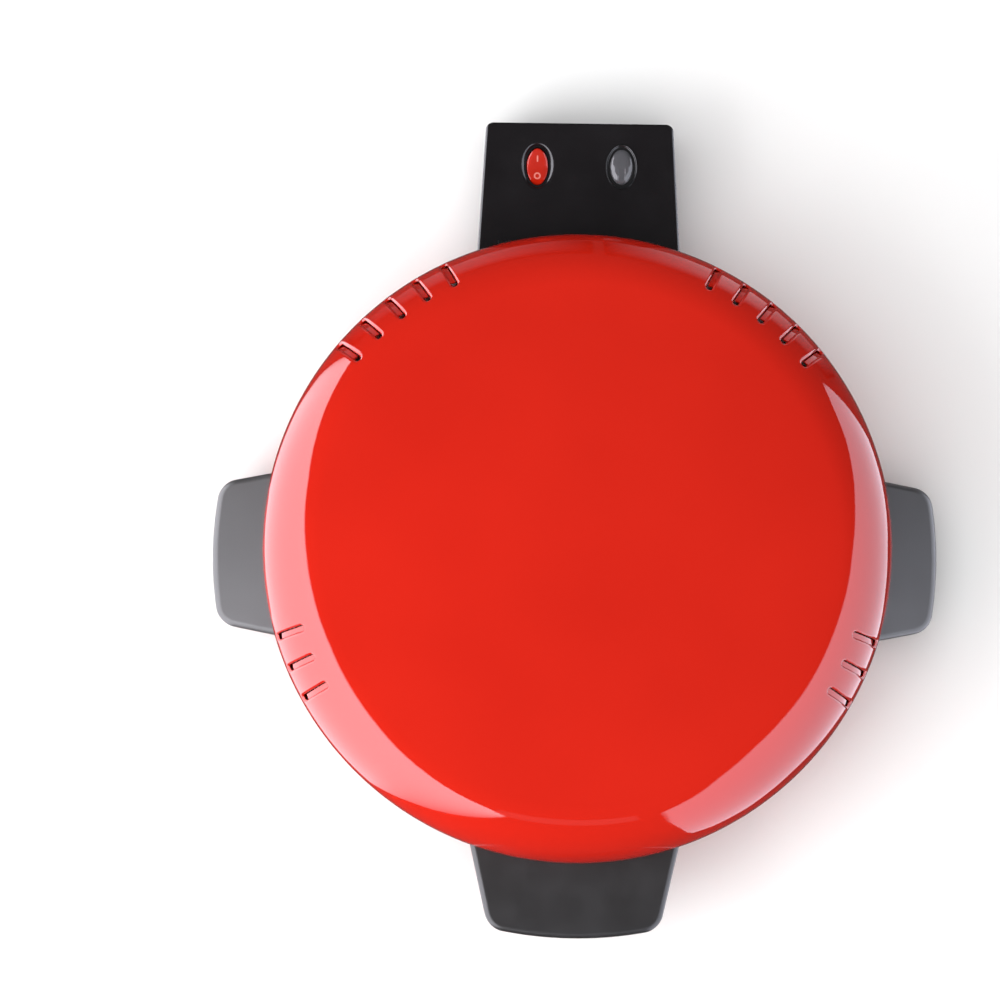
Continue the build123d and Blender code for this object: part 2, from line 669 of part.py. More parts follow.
def side_handle():
    """The right-hand side handle, open below, with two screw bosses on ribs inside."""
    low, high = SIDE_HANDLE_BOTTOM, SIDE_HANDLE_TOP
    block, tongue = handle_block(SIDE_HANDLE_REACH, SIDE_HANDLE_HALF, SIDE_HANDLE_TAPER, BASE_R, low, high)
    hollow = Pos(0, SIDE_HANDLE_Y, 0) * handle_hollow(tongue, BASE_R, low - 1, high - HANDLE_WALL)
    for y in SIDE_SCREW_YS:
        hollow -= cylinder_along_x(5.0, BASE_R - 10, BASE_R + 16, y, SIDE_SCREW_Z)
        hollow -= box_between((BASE_R - 10, y - 1, SIDE_SCREW_Z), (SIDE_HANDLE_REACH, y + 1, high))
    handle = Pos(0, SIDE_HANDLE_Y, 0) * block - hollow - base_body()
    for y in SIDE_SCREW_YS:
        handle -= cylinder_along_x(SIDE_SCREW_R + 0.05, BASE_R - 10, BASE_R + 13, y, SIDE_SCREW_Z)
    return handle


HANDLE_SCREW_X = 30.0
HANDLE_SCREW_Z = 63.2
HANDLE_SCREW_R = 2.0
COVER_SCREW_PLACES = ((186.0, -27.0), (186.0, 27.0))


def front_handle():
    """The upper half and the lower cover of the lid's handle, made on the +X side."""
    low, split, high = FRONT_HANDLE_BOTTOM, FRONT_HANDLE_SPLIT, FRONT_HANDLE_TOP
    block, tongue = handle_block(FRONT_HANDLE_REACH, FRONT_HANDLE_HALF, FRONT_HANDLE_TAPER, LID_R, low, high)
    block -= lid_body()
    block -= cylinder_up(LID_R, low - 5, RIM_Z + 1)
    above = box_between((100, -80, split), (240, 80, high + 5))
    upper_hollow = handle_hollow(tongue, LID_R, split - 1, high - HANDLE_WALL)
    lower_hollow = handle_hollow(tongue, LID_R, low + HANDLE_WALL, split + 1)
    for y in (-HANDLE_SCREW_X, HANDLE_SCREW_X):
        upper_hollow -= box_between((LID_R - 10, y - 4.5, split), (LID_R + 14, y + 4.5, high))
    for x, y in COVER_SCREW_PLACES:
        upper_hollow -= cylinder_up(4.0, split - 1, high, x=x, y=y)
        lower_hollow -= cylinder_up(5.0, low, split + 1, x=x, y=y)
    for y in (-10.0, 10.0):
        upper_hollow -= box_between((LID_R, y - 1, split), (FRONT_HANDLE_REACH, y + 1, high))
    upper = (block & above) - upper_hollow
    lower = (block - above) - lower_hollow
    for y in (-HANDLE_SCREW_X, HANDLE_SCREW_X):
        upper -= cylinder_along_x(HANDLE_SCREW_R + 0.05, LID_R - 10, LID_R + 12, y, HANDLE_SCREW_Z)
    for x, y in COVER_SCREW_PLACES:
        upper -= cylinder_up(1.55, split - 1, split + 5, x=x, y=y)
        lower -= cylinder_up(1.8, low - 1, split + 1, x=x, y=y)
        lower -= cylinder_up(3.4, low - 1, low + 2.4, x=x, y=y)
    return upper, lower


# Rear housing: a plastic tray and cover that follow the base's wall
def housing_plan(inset):
    """The housing's trapezoid seen from above, drawn in by an inset."""
    front_y = 130.0
    back_y = HOUSING_BACK_Y - inset
    back_half = HOUSING_BACK_HALF - inset
    front_half = back_half + HOUSING_TAPER * (back_y - front_y)
    back = ((-back_half, back_y), (back_half, back_y))
    front = ((front_half, front_y), (-front_half, front_y))
    plan = make_face(Polyline(*back, *front, close=True))
    return fillet(plan.vertices().group_by(Axis.Y)[-1], 4.0 - inset * 0.8)


def housing_shells():
    """The closed box's outer form and the hollow inside its walls."""
    low, high, wall = HOUSING_BOTTOM_Z, HOUSING_TOP_Z, HOUSING_WALL
    outer = Pos(0, 0, low) * extrude(housing_plan(0), amount=high - low)
    rims = outer.edges().group_by(Axis.Z)
    front_y = outer.faces().sort_by(Axis.Y)[0].center().Y
    edges = [e for e in rims[0] + rims[-1] if e.center().Y > front_y + 1]
    outer = fillet(edges, HOUSING_EDGE) - base_body(0.05)
    hollow = Pos(0, 0, low + wall) * extrude(housing_plan(wall), amount=high - low - 2 * wall)
    return outer, hollow - base_body(wall)


HOUSING_BOLT_X = 34.0
HOUSING_BOLT_Z = 34.0
HOUSING_BOLT_R = 2.0
HOUSING_SCREW_PLACES = ((-42.0, 222.0), (42.0, 222.0), (-44.5, 168.0), (44.5, 168.0))
HOUSING_BOSS_R = 4.2
HOUSING_SCREW_R = 1.6


def gland_gap():
    return cylinder_along_y(GLAND_NECK_R, HOUSING_BACK_Y - 10, HOUSING_BACK_Y + 5, GLAND_X, HOUSING_SPLIT_Z)


def housing_parts():
    """The tray below the split line and the cover above it."""
    split, low, high = HOUSING_SPLIT_Z, HOUSING_BOTTOM_Z, HOUSING_TOP_Z
    outer, hollow = housing_shells()
    for x, y in HOUSING_SCREW_PLACES:
        hollow -= cylinder_up(HOUSING_BOSS_R, low, high, x=x, y=y)
    for x in (-HOUSING_BOLT_X, HOUSING_BOLT_X):
        hollow -= cylinder_along_y(4.5, 140, 162, x, HOUSING_BOLT_Z)
    box = outer - hollow - gland_gap()
    above = box_between((-80, 100, split), (80, 260, high + 10))
    cover, tray = box & above, box - above
    for x, y in HOUSING_SCREW_PLACES:
        cover -= cylinder_up(HOUSING_SCREW_R + 0.05, split - 1, split + 9, x=x, y=y)
        tray -= cylinder_up(HOUSING_SCREW_R + 0.3, low - 1, split + 1, x=x, y=y)
        tray -= cylinder_up(3.3, low - 1, low + 4, x=x, y=y)
    for x in (-HOUSING_BOLT_X, HOUSING_BOLT_X):
        cover -= cylinder_along_y(HOUSING_BOLT_R + 0.05, 140, 161, x, HOUSING_BOLT_Z)
    cover -= control_well()
    cover -= ellipse_up(BODY_HALF, high - 10, high + 1, x=-CONTROL_X, y=CONTROL_Y)
    cover -= ellipse_up(LENS_HALF, high - 10, high + 1, x=CONTROL_X, y=CONTROL_Y)
    for x, y in housing_feet_places():
        tray -= cylinder_up(FOOT_SCREW_R + 0.05, low - 1, low + 5, x=x, y=y)
    return tray, cover


def housing_feet_places():
    return [(-HOUSING_FOOT[0], HOUSING_FOOT[1]), (HOUSING_FOOT[0], HOUSING_FOOT[1])]


def control_well():
    """The dished oval that the rocker switch sits in."""
    high = HOUSING_TOP_Z
    top = Plane.XY.offset(high + 0.01) * Ellipse(*WELL_HALF)
    floor = Plane.XY.offset(high - WELL_DEPTH) * Ellipse(WELL_HALF[0] - 1.6, WELL_HALF[1] - 1.3)
    return Pos(-CONTROL_X, CONTROL_Y, 0) * loft([floor, top])


# Rocker switch: the rocker is part of a spheroid about its own pivot, so it turns freely in an oval window
BODY_HALF = (6.9, 11.0)
BEZEL_Z = HOUSING_TOP_Z - WELL_DEPTH
BEZEL_THICK = 1.2
ROCKER_FACE = 2.0
CHIN_FROM = 6.5
CHIN_SLOPE = 25.0
PIVOT_Z = BEZEL_Z + BEZEL_THICK - ROCKER_FACE
STUB_R = 1.0


def switch_body():
    """The switch's oval frame, with a bezel on the well's floor, a pocket for the rocker and three tabs."""
    low = PIVOT_Z - 11.0
    body = ellipse_up((BODY_HALF[0] - 0.1, BODY_HALF[1] - 0.1), low, BEZEL_Z)
    body += ellipse_up(BEZEL_HALF, BEZEL_Z, BEZEL_Z + BEZEL_THICK)
    window = (ROCKER_HALF[0] + ROCKER_GAP, ROCKER_HALF[1] + ROCKER_GAP)
    body -= ellipse_up(window, PIVOT_Z - 9.0, BEZEL_Z + 2)
    body -= cylinder_along_x(STUB_R + 0.05, -7.5, 7.5, 0, PIVOT_Z)
    for y in (-6.0, 0.0, 6.0):
        body += box_between((-2.4, y - 0.4, low - 7), (2.4, y + 0.4, low + 0.5))
    return Pos(-CONTROL_X, CONTROL_Y, 0) * body


def switch_rocker():
    """The rocker at OFF: its front half, with a sloping chin, lies level and its back half stands up."""
    half_x, half_y = ROCKER_HALF
    reach = half_y + 2
    rise = tan(radians(ROCKER_TILT))
    chin_z = ROCKER_FACE + CHIN_FROM * rise
    chin_low = chin_z - (reach - CHIN_FROM) * tan(radians(CHIN_SLOPE))
    side = make_face(
        Polyline(
            (-reach, chin_low), (-CHIN_FROM, chin_z), (0, ROCKER_FACE), (reach, ROCKER_FACE + reach * rise),
            (reach, -ROCKER_SKIRT), (-reach, -ROCKER_SKIRT), close=True,
        )
    )
    side &= Circle(half_y)
    rocker = extrude(Plane.YZ * side, amount=half_x + 1, both=True) & ellipse_up(ROCKER_HALF, -8, 8)
    rocker += ellipse_up((half_x - 1.3, half_y - 3.4), -5.0, -ROCKER_SKIRT)
    rocker += cylinder_along_x(STUB_R, -6.5, 6.5, 0, 0)
    return Pos(-CONTROL_X, CONTROL_Y, PIVOT_Z) * Rot(ROCKER_TILT, 0, 0) * rocker


# Indicator lamp: a clear oval lens snapped into the cover, with a neon bulb in a holder behind it
def indicator_lens():
    high = HOUSING_TOP_Z
    flange = ellipse_up(LAMP_HALF, high, high + 1.0)
    flange = fillet(flange.edges().group_by(Axis.Z)[-1], 0.5)
    foot_face = Plane.XY.offset(high + 0.9) * Ellipse(*LENS_HALF)
    crown_face = Plane.XY.offset(high + 2.6) * Ellipse(LENS_HALF[0] * 0.72, LENS_HALF[1] * 0.8)
    dome = loft([foot_face, crown_face])
    skirt = ellipse_up((LENS_HALF[0] - 0.1, LENS_HALF[1] - 0.1), high - 4, high + 0.5)
    inside = (LENS_HALF[0] - 1.3, LENS_HALF[1] - 1.3)
    lens = flange + dome + skirt - ellipse_up(inside, high - 5, high + 1.0)
    return Pos(CONTROL_X, CONTROL_Y, 0) * lens


def lamp_holder():
    high = HOUSING_TOP_Z
    outer = (LENS_HALF[0] - 1.4, LENS_HALF[1] - 1.4)
    cup = ellipse_up(outer, high - 14, high - 3)
    cup -= ellipse_up((outer[0] - 1, outer[1] - 1), high - 12.5, high - 2)
    return Pos(CONTROL_X, CONTROL_Y, 0) * cup


def neon_bulb():
    high = HOUSING_TOP_Z
    bulb = cylinder_up(2.0, high - 12.4, high - 4) + Pos(0, 0, high - 4) * Sphere(2.0)
    return Pos(CONTROL_X, CONTROL_Y, 0) * bulb


def terminal_block():
    """A three-way screw terminal block on the tray's floor."""
    low = HOUSING_BOTTOM_Z + HOUSING_WALL
    block = box_between((-15, 183, low), (15, 195, low + 9))
    for x in (-10.0, 0.0, 10.0):
        block -= cylinder_up(2.2, low + 3, low + 10, x=x, y=189)
        block -= cylinder_along_y(1.8, 180, 198, x, low + 3.5)
    return block


def cord_gland():
    """A moulded bush, gripped between tray and cover, that the mains cord passes through."""
    wall = HOUSING_WALL
    inner = -wall - 3.0
    profile = Polyline(
        (GLAND_BORE_R, inner), (GLAND_FLANGE_R, inner), (GLAND_FLANGE_R, -wall),
        (GLAND_NECK_R, -wall), (GLAND_NECK_R, 0), (GLAND_FLANGE_R, 0),
        (GLAND_FLANGE_R - 0.6, GLAND_PROUD), (GLAND_BORE_R, GLAND_PROUD),
        close=True,
    )
    bush = revolve(Plane.XZ * make_face(profile), Axis.Z)
    return Pos(GLAND_X, HOUSING_BACK_Y, HOUSING_SPLIT_Z) * Rot(-90, 0, 0) * bush


def build():
    front = Rot(0, 0, -90)

    write("lid_shell", lid_shell())
    write("lid_reflector", reflector())
    write("lid_brackets", *lid_brackets())
    write("upper_heating_element", upper_element())
    write("upper_element_clips", *around(element_clip(), CLIP_ANGLES))
    write("upper_element_bushings", *element_bushings())
    write("lid_hinge_leaf", lid_hinge_leaf())
    upper, lower = front_handle()
    write("front_handle", front * upper)
    write("front_handle_cover", front * lower)

    write("base_shell", base_shell())
    write("bottom_cover", bottom_cover())
    write("baking_plate", baking_plate())
    write("plate_tie_bolts", *tie_bolts())
    write("stack_spacers", *stack_spacers())
    write("lower_heating_element", lower_element())
    write("lower_element_clamps", *lower_clamps())
    write("lower_reflector", lower_reflector())
    write("thermostat", thermostat())
    write("thermal_fuse", thermal_fuse())
    handle = side_handle()
    write("right_side_handle", handle)
    write("left_side_handle", mirror(handle, about=Plane.YZ))
    for name, place in zip(("front_left", "front_right", "rear_left", "rear_right"), foot_places()):
        write("foot_" + name, Pos(place[0], place[1], 0) * foot(COVER_Z))
    write("hinge_bracket", hinge_bracket())
    write("hinge_pin", hinge_pin())

    tray, cover = housing_parts()
    write("housing_tray", tray)
    write("housing_cover", cover)
    for name, place in zip(("left", "right"), housing_feet_places()):
        write("housing_foot_" + name, Pos(place[0], place[1], 0) * foot(HOUSING_BOTTOM_Z))
    write("switch_body", switch_body())
    write("switch_rocker", switch_rocker())
    write("indicator_lens", indicator_lens())
    write("lamp_holder", lamp_holder())
    write("neon_bulb", neon_bulb())
    write("terminal_block", terminal_block())
    write("cord_gland", cord_gland())


build()
os.makedirs("parts", exist_ok=True)
for part_name, part_shape in PARTS.items():
    export_step(part_shape, f"parts/{part_name}.step")
print(len(PARTS), "parts, lid top at", round(LID_TOP_Z, 2), "footprint middle at y", round(FOOTPRINT_MID_Y, 2))
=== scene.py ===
# %% [markdown]
# # A pizza maker, dressed for the camera
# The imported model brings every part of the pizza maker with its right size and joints: a round steel lid on a
# hinge, a baking plate, two heating elements, three handles and a switch housing. This file gives those parts
# their looks. Some solids keep their shape and only get a finish. Others are replaced by a finer surface that is
# worked out with numpy and rides on the same body, so that it moves when the joint moves.

# %% Load the frame
import json
from math import asin, cos, pi, radians, sin, sqrt, tan

import bmesh
import bpy
import numpy as np
from mathutils import Matrix, Vector


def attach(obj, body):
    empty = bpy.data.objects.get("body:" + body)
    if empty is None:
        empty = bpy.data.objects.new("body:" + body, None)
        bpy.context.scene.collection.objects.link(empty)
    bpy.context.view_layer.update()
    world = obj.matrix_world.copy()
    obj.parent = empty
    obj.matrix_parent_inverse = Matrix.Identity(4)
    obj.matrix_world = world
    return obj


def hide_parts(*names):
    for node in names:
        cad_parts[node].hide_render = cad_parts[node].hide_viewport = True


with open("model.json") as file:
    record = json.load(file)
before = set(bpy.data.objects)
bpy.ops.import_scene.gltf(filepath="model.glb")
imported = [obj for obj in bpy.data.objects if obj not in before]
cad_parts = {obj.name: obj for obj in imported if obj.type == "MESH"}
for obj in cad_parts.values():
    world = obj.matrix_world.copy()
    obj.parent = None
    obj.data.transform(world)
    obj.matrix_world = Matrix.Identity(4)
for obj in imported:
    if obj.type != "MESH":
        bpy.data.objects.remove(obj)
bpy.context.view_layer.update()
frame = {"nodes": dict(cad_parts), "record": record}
nodes = frame["nodes"]
MM = 0.001

# %% [markdown]
# # Where things are
# The lid, the plate and the base are round about one upright axis. The origin of the frame is the middle of the
# footprint, so that axis stands a little in front of it. All sizes below are in millimetres about the plate's axis,
# as on a drawing, and one function moves them into the frame and turns them into metres.

# %% From the drawing to the frame
AXIS_Y = -13.25


def in_frame(points):
    """Points in millimetres about the plate's axis, moved along Y and scaled to metres."""
    return (np.asarray(points, float) + (0.0, AXIS_Y, 0.0)) * MM


print("the axis stands at y =", AXIS_Y * MM)

# %% [markdown]
# # The camera
# The photograph looks down on the closed lid from about two metres, leaning a few degrees towards the front and
# to the left. A long lens keeps the sides parallel. The camera's three directions are worked out from the two
# lean angles and a small roll about the line of sight, so nothing has to be aimed by hand.

# %% Camera
LEAN_FRONT, LEAN_LEFT, ROLL = radians(4.15), radians(0.87), radians(0.64)
AIM = np.array([-40.5, 26.4 + AXIS_Y, 40.0]) * MM
DISTANCE = 2.0
PIXELS_PER_MM = 1.8801
SENSOR = 36.0

back = np.array([-tan(LEAN_LEFT), -tan(LEAN_FRONT), 1.0])
back /= np.linalg.norm(back)
level = np.cross(-back, (0.0, 1.0, 0.0))
level /= np.linalg.norm(level)
rise = np.cross(level, -back)
right = cos(ROLL) * level + sin(ROLL) * rise
up = cos(ROLL) * rise - sin(ROLL) * level

camera = bpy.data.objects.new("camera", bpy.data.cameras.new("camera"))
bpy.context.scene.collection.objects.link(camera)
camera.data.sensor_width = SENSOR
camera.data.lens = PIXELS_PER_MM * DISTANCE * SENSOR
camera.data.clip_end = 50.0
place = Matrix.Identity(4)
for column, direction in enumerate((right, up, back)):
    for row in range(3):
        place[row][column] = direction[row]
place.translation = Vector(AIM + back * DISTANCE)
camera.matrix_world = place
bpy.context.scene.camera = camera
print("lens", round(camera.data.lens, 1), "mm at", [round(v, 3) for v in place.translation])

# %% [markdown]
# # Meshes from arrays
# Every new piece is a grid of points. If row r and column c of the grid hold point r * columns + c, the faces
# are the same for every shape, so they are written once. Points that fall together at a pole or a seam are then
# merged, and the sign of the enclosed volume tells whether the faces look outwards.

# %% Grid and mesh helpers
def grid_faces(rows, columns, around=False):
    """Corner numbers of a grid's quads, with the last column joined to the first if it goes around."""
    r = np.arange(rows - 1)[:, None]
    c = np.arange(columns if around else columns - 1)[None, :]
    after = (c + 1) % columns
    corners = [r * columns + c, r * columns + after, (r + 1) * columns + after, (r + 1) * columns + c]
    return np.stack([np.broadcast_to(k, (rows - 1, c.shape[1])) for k in corners], -1).reshape(-1, 4)


def mesh_piece(name, points, faces, crease=35.0, merge=0.002, closed=True):
    """A piece whose place is in its mesh: drawing points, quads, merged within a distance in millimetres."""
    mesh = bpy.data.meshes.new(name)
    mesh.from_pydata(in_frame(points).tolist(), [], np.asarray(faces).tolist())
    made = bmesh.new()
    made.from_mesh(mesh)
    bmesh.ops.remove_doubles(made, verts=made.verts, dist=merge * MM)
    bmesh.ops.dissolve_degenerate(made, edges=made.edges, dist=1e-7)
    if closed and made.calc_volume(signed=True) < 0:
        bmesh.ops.reverse_faces(made, faces=made.faces)
    made.to_mesh(mesh)
    made.free()
    mesh.shade_smooth()
    mesh.set_sharp_from_angle(angle=radians(crease))
    piece = bpy.data.objects.new(name, mesh)
    bpy.context.scene.collection.objects.link(piece)
    print(name, len(mesh.polygons), "faces")
    return piece


def round_axis(radius, a, height):
    """Places at angle a about the axis: (radius cos a, radius sin a, height)."""
    return np.stack([radius * np.cos(a), radius * np.sin(a), height + 0 * a], -1)


def repeated(faces, points_each, times):
    """The faces of one shape, written once for each of several copies of its points."""
    return (faces[None] + (np.arange(times) * points_each)[:, None, None]).reshape(-1, 4)


print("a grid of 3 rows and 4 columns has", len(grid_faces(3, 4)), "faces")

# %% [markdown]
# # Studio light
# Glossy enamel shows its lights. In the photograph two tall soft boxes stand left and right of the table and lie
# as pale bands on the lid's rounded shoulder, while the nearly flat crown looks up into a dark ceiling and stays
# a deep red. A square lamp would give a band of the wrong outline. But a shoulder turns by ninety degrees over a
# few centimetres, so a band's edges say in which directions its box begins and ends. Each box is therefore a
# curved card, given by its height at each bearing, which only reflections see. Its glow is an attribute of its
# points, so that it can fade towards an edge as cloth before a lamp does.

# %% A card for reflections
CARD_DISTANCE, CARD_ROWS, CARD_COLUMNS = 5000.0, 12, 90
CARD_CROWDING = 1.5
SIDE_FADE, SIDE_MARGIN = 60.0, 20


def card_points(bearings, tops, bottoms):
    """At bearing b, directions from angle top to angle bottom, both from the upright, crowded near the top."""
    b = np.linspace(bearings[0], bearings[-1], CARD_COLUMNS)
    share = np.linspace(0, 1, CARD_ROWS)[:, None] ** CARD_CROWDING
    low, high = np.interp(b, bearings, bottoms), np.interp(b, bearings, tops)
    p = np.radians(high + share * (low - high))
    a = np.radians(b)[None, :] + 0 * p
    return np.stack([np.cos(a) * np.sin(p), np.sin(a) * np.sin(p), np.cos(p)], -1) * CARD_DISTANCE


def card_glow(card, bearings, tops, bottoms, soft, drop):
    """A glow for each point. It rises over a soft share of the strip below the top edge and in from both sides,
    and a share s further down it is 1 - drop * s^2."""
    places = np.empty(3 * len(card.data.vertices))
    card.data.vertices.foreach_get("co", places)
    x, y, z = (places.reshape(-1, 3) / MM - (0.0, AXIS_Y, 0.0)).T / CARD_DISTANCE
    bearing = (np.degrees(np.arctan2(y, x)) - bearings[0] + SIDE_MARGIN) % 360 + bearings[0] - SIDE_MARGIN
    top, bottom = np.interp(bearing, bearings, tops), np.interp(bearing, bearings, bottoms)
    down = (np.degrees(np.arccos(np.clip(z, -1, 1))) - top) / np.maximum(bottom - top, 0.1)
    sides = np.clip(np.minimum(bearing - bearings[0], bearings[-1] - bearing) / (SIDE_FADE * soft), 0, 1)
    return np.clip(down / soft, 0, 1) * sides * (1 - drop * down**2)


def card_material(name, radiance, tint):
    """Light of one tint, as strong as the radiance times the glow."""
    material = bpy.data.materials.new(name)
    material.use_nodes = True
    tree = material.node_tree
    tree.nodes.remove(tree.nodes["Principled BSDF"])
    emission = tree.nodes.new("ShaderNodeEmission")
    emission.inputs["Color"].default_value = (*tint, 1.0)
    glow = tree.nodes.new("ShaderNodeAttribute")
    glow.attribute_name = "glow"
    level = tree.nodes.new("ShaderNodeMath")
    level.operation = "MULTIPLY"
    level.inputs[1].default_value = radiance
    tree.links.new(glow.outputs["Fac"], level.inputs[0])
    tree.links.new(level.outputs["Value"], emission.inputs["Strength"])
    tree.links.new(emission.outputs["Emission"], tree.nodes["Material Output"].inputs["Surface"])
    return material


def light_card(name, bearings, tops, bottoms, radiance, tint, soft=0.02, drop=0.0):
    """A strip round the table with its glow, seen by reflections alone."""
    points = card_points(bearings, tops, bottoms).reshape(-1, 3)
    card = mesh_piece(name, points, grid_faces(CARD_ROWS, CARD_COLUMNS), closed=False)
    glow = card_glow(card, bearings, tops, bottoms, soft, drop)
    card.data.attributes.new("glow", "FLOAT", "POINT").data.foreach_set("value", glow.astype(np.float32))
    card.data.materials.append(card_material(name, radiance, tint))
    card.visible_camera = card.visible_diffuse = card.visible_shadow = False


print("a card has", CARD_ROWS * CARD_COLUMNS, "points,", CARD_DISTANCE * MM, "m from the plate's axis")

# %% [markdown]
# Bearings go round from +X. The left box glows more strongly and fades towards its foot. Behind the table a pale
# backdrop shows softly in the rear of the shoulder, brighter on the right than on the left, and a low screen in
# front leaves a faint line between the two bands.

# %% The soft boxes
light_card(
    "soft_box_left",
    bearings=(137, 142, 148, 155, 162, 170, 178, 186, 198, 210, 220, 228, 237, 245, 252, 257),
    tops=(80, 74, 67, 57, 47, 41, 35, 31, 27, 28, 30, 34, 38, 42, 45, 50),
    bottoms=(92, 128, 143, 146, 149, 151, 151, 151, 151, 151, 150, 146, 110, 86, 66, 51),
    radiance=7.0,
    tint=(0.98, 0.97, 1.05),
    drop=0.72,
)
light_card(
    "soft_box_right",
    bearings=(-69, -65, -60, -52, -41, -32, -25, -17, -9, -3, 4, 11, 17, 24, 31, 36),
    tops=(49, 45, 41, 32, 26, 26, 28, 29, 31, 35, 39, 48, 57, 67, 73, 82),
    bottoms=(64, 116, 124, 128, 126, 132, 137, 139, 138, 130, 127, 131, 134, 131, 104, 84),
    radiance=3.5,
    tint=(0.95, 0.98, 1.12),
)

# %% The backdrop and the front screen
BACKDROP_TINT = (1.0, 0.93, 1.0)
light_card(
    "backdrop",
    bearings=(36, 48, 60, 72, 84),
    tops=(98, 90, 82, 78, 80),
    bottoms=(128, 128, 126, 124, 120),
    radiance=1.3,
    tint=BACKDROP_TINT,
    soft=0.35,
)
light_card(
    "backdrop_dim",
    bearings=(86, 104, 120, 136),
    tops=(80, 82, 88, 98),
    bottoms=(118, 120, 124, 126),
    radiance=0.6,
    tint=BACKDROP_TINT,
    soft=0.35,
)
light_card(
    "front_screen",
    bearings=(-106, -100, -90, -80, -73),
    tops=(42, 40, 39, 40, 42),
    bottoms=(50, 50, 49, 50, 51),
    radiance=0.5,
    tint=(1.0, 0.96, 0.96),
)

# %% [markdown]
# # Lamps for the colours
# The cards light nothing but reflections, so plain lamps bring out the colours. A very wide one hangs overhead, a
# little to the left and in front, for an even light and a soft shadow. A smaller one stands low on the left.
# Neither shows in reflections, where it would lie as a square on the enamel.

# %% Two wide lamps
def wide_lamp(name, place, aim, size, radiance):
    """A square lamp that reflections don't see. Its power is its radiance times pi times its area."""
    data = bpy.data.lights.new(name, "AREA")
    data.shape = "RECTANGLE"
    data.size = data.size_y = size
    data.energy = radiance * pi * size * size
    lamp = bpy.data.objects.new(name, data)
    bpy.context.scene.collection.objects.link(lamp)
    lamp.location = place
    lamp.rotation_mode = "QUATERNION"
    lamp.rotation_quaternion = (Vector(place) - Vector(aim)).to_track_quat("Z", "Y")
    lamp.visible_camera = lamp.visible_glossy = False
    print(name, round(data.energy), "W")


wide_lamp("lamp_overhead", place=(-0.45, -0.35, 2.6), aim=(0.0, 0.0, 0.0), size=4.6, radiance=1.95)
wide_lamp("lamp_left", place=(-1.0, -0.5, 0.75), aim=(0.0, 0.0, 0.05), size=0.9, radiance=5.6)

# %% [markdown]
# # The room
# The ground of the photograph is white as far as one sees. A bright room would give that, but it would also wash
# out the enamel. So the room is white only for what is seen past the floor, and just fills the shadows otherwise.

# %% World
ROOM_DIM, ROOM_SEEN = 0.10, 0.95

world = bpy.data.worlds.new("studio")
bpy.context.scene.world = world
world.use_nodes = True
room = world.node_tree
room.nodes["Background"].inputs["Color"].default_value = (1.0, 0.99, 0.98, 1.0)
ray = room.nodes.new("ShaderNodeLightPath")
level = room.nodes.new("ShaderNodeMapRange")
level.inputs["To Min"].default_value, level.inputs["To Max"].default_value = ROOM_DIM, ROOM_SEEN
room.links.new(ray.outputs["Is Camera Ray"], level.inputs["Value"])
room.links.new(level.outputs["Result"], room.nodes["Background"].inputs["Strength"])
bpy.context.scene.view_settings.view_transform = "Standard"

# %% [markdown]
# # Finishes from nodes
# A finish is a Principled shader with a few patterns on it. All patterns read Object coordinates, which are the
# frame's metres here, so a scale of 400 gives marks about two and a half millimetres apart on every piece.

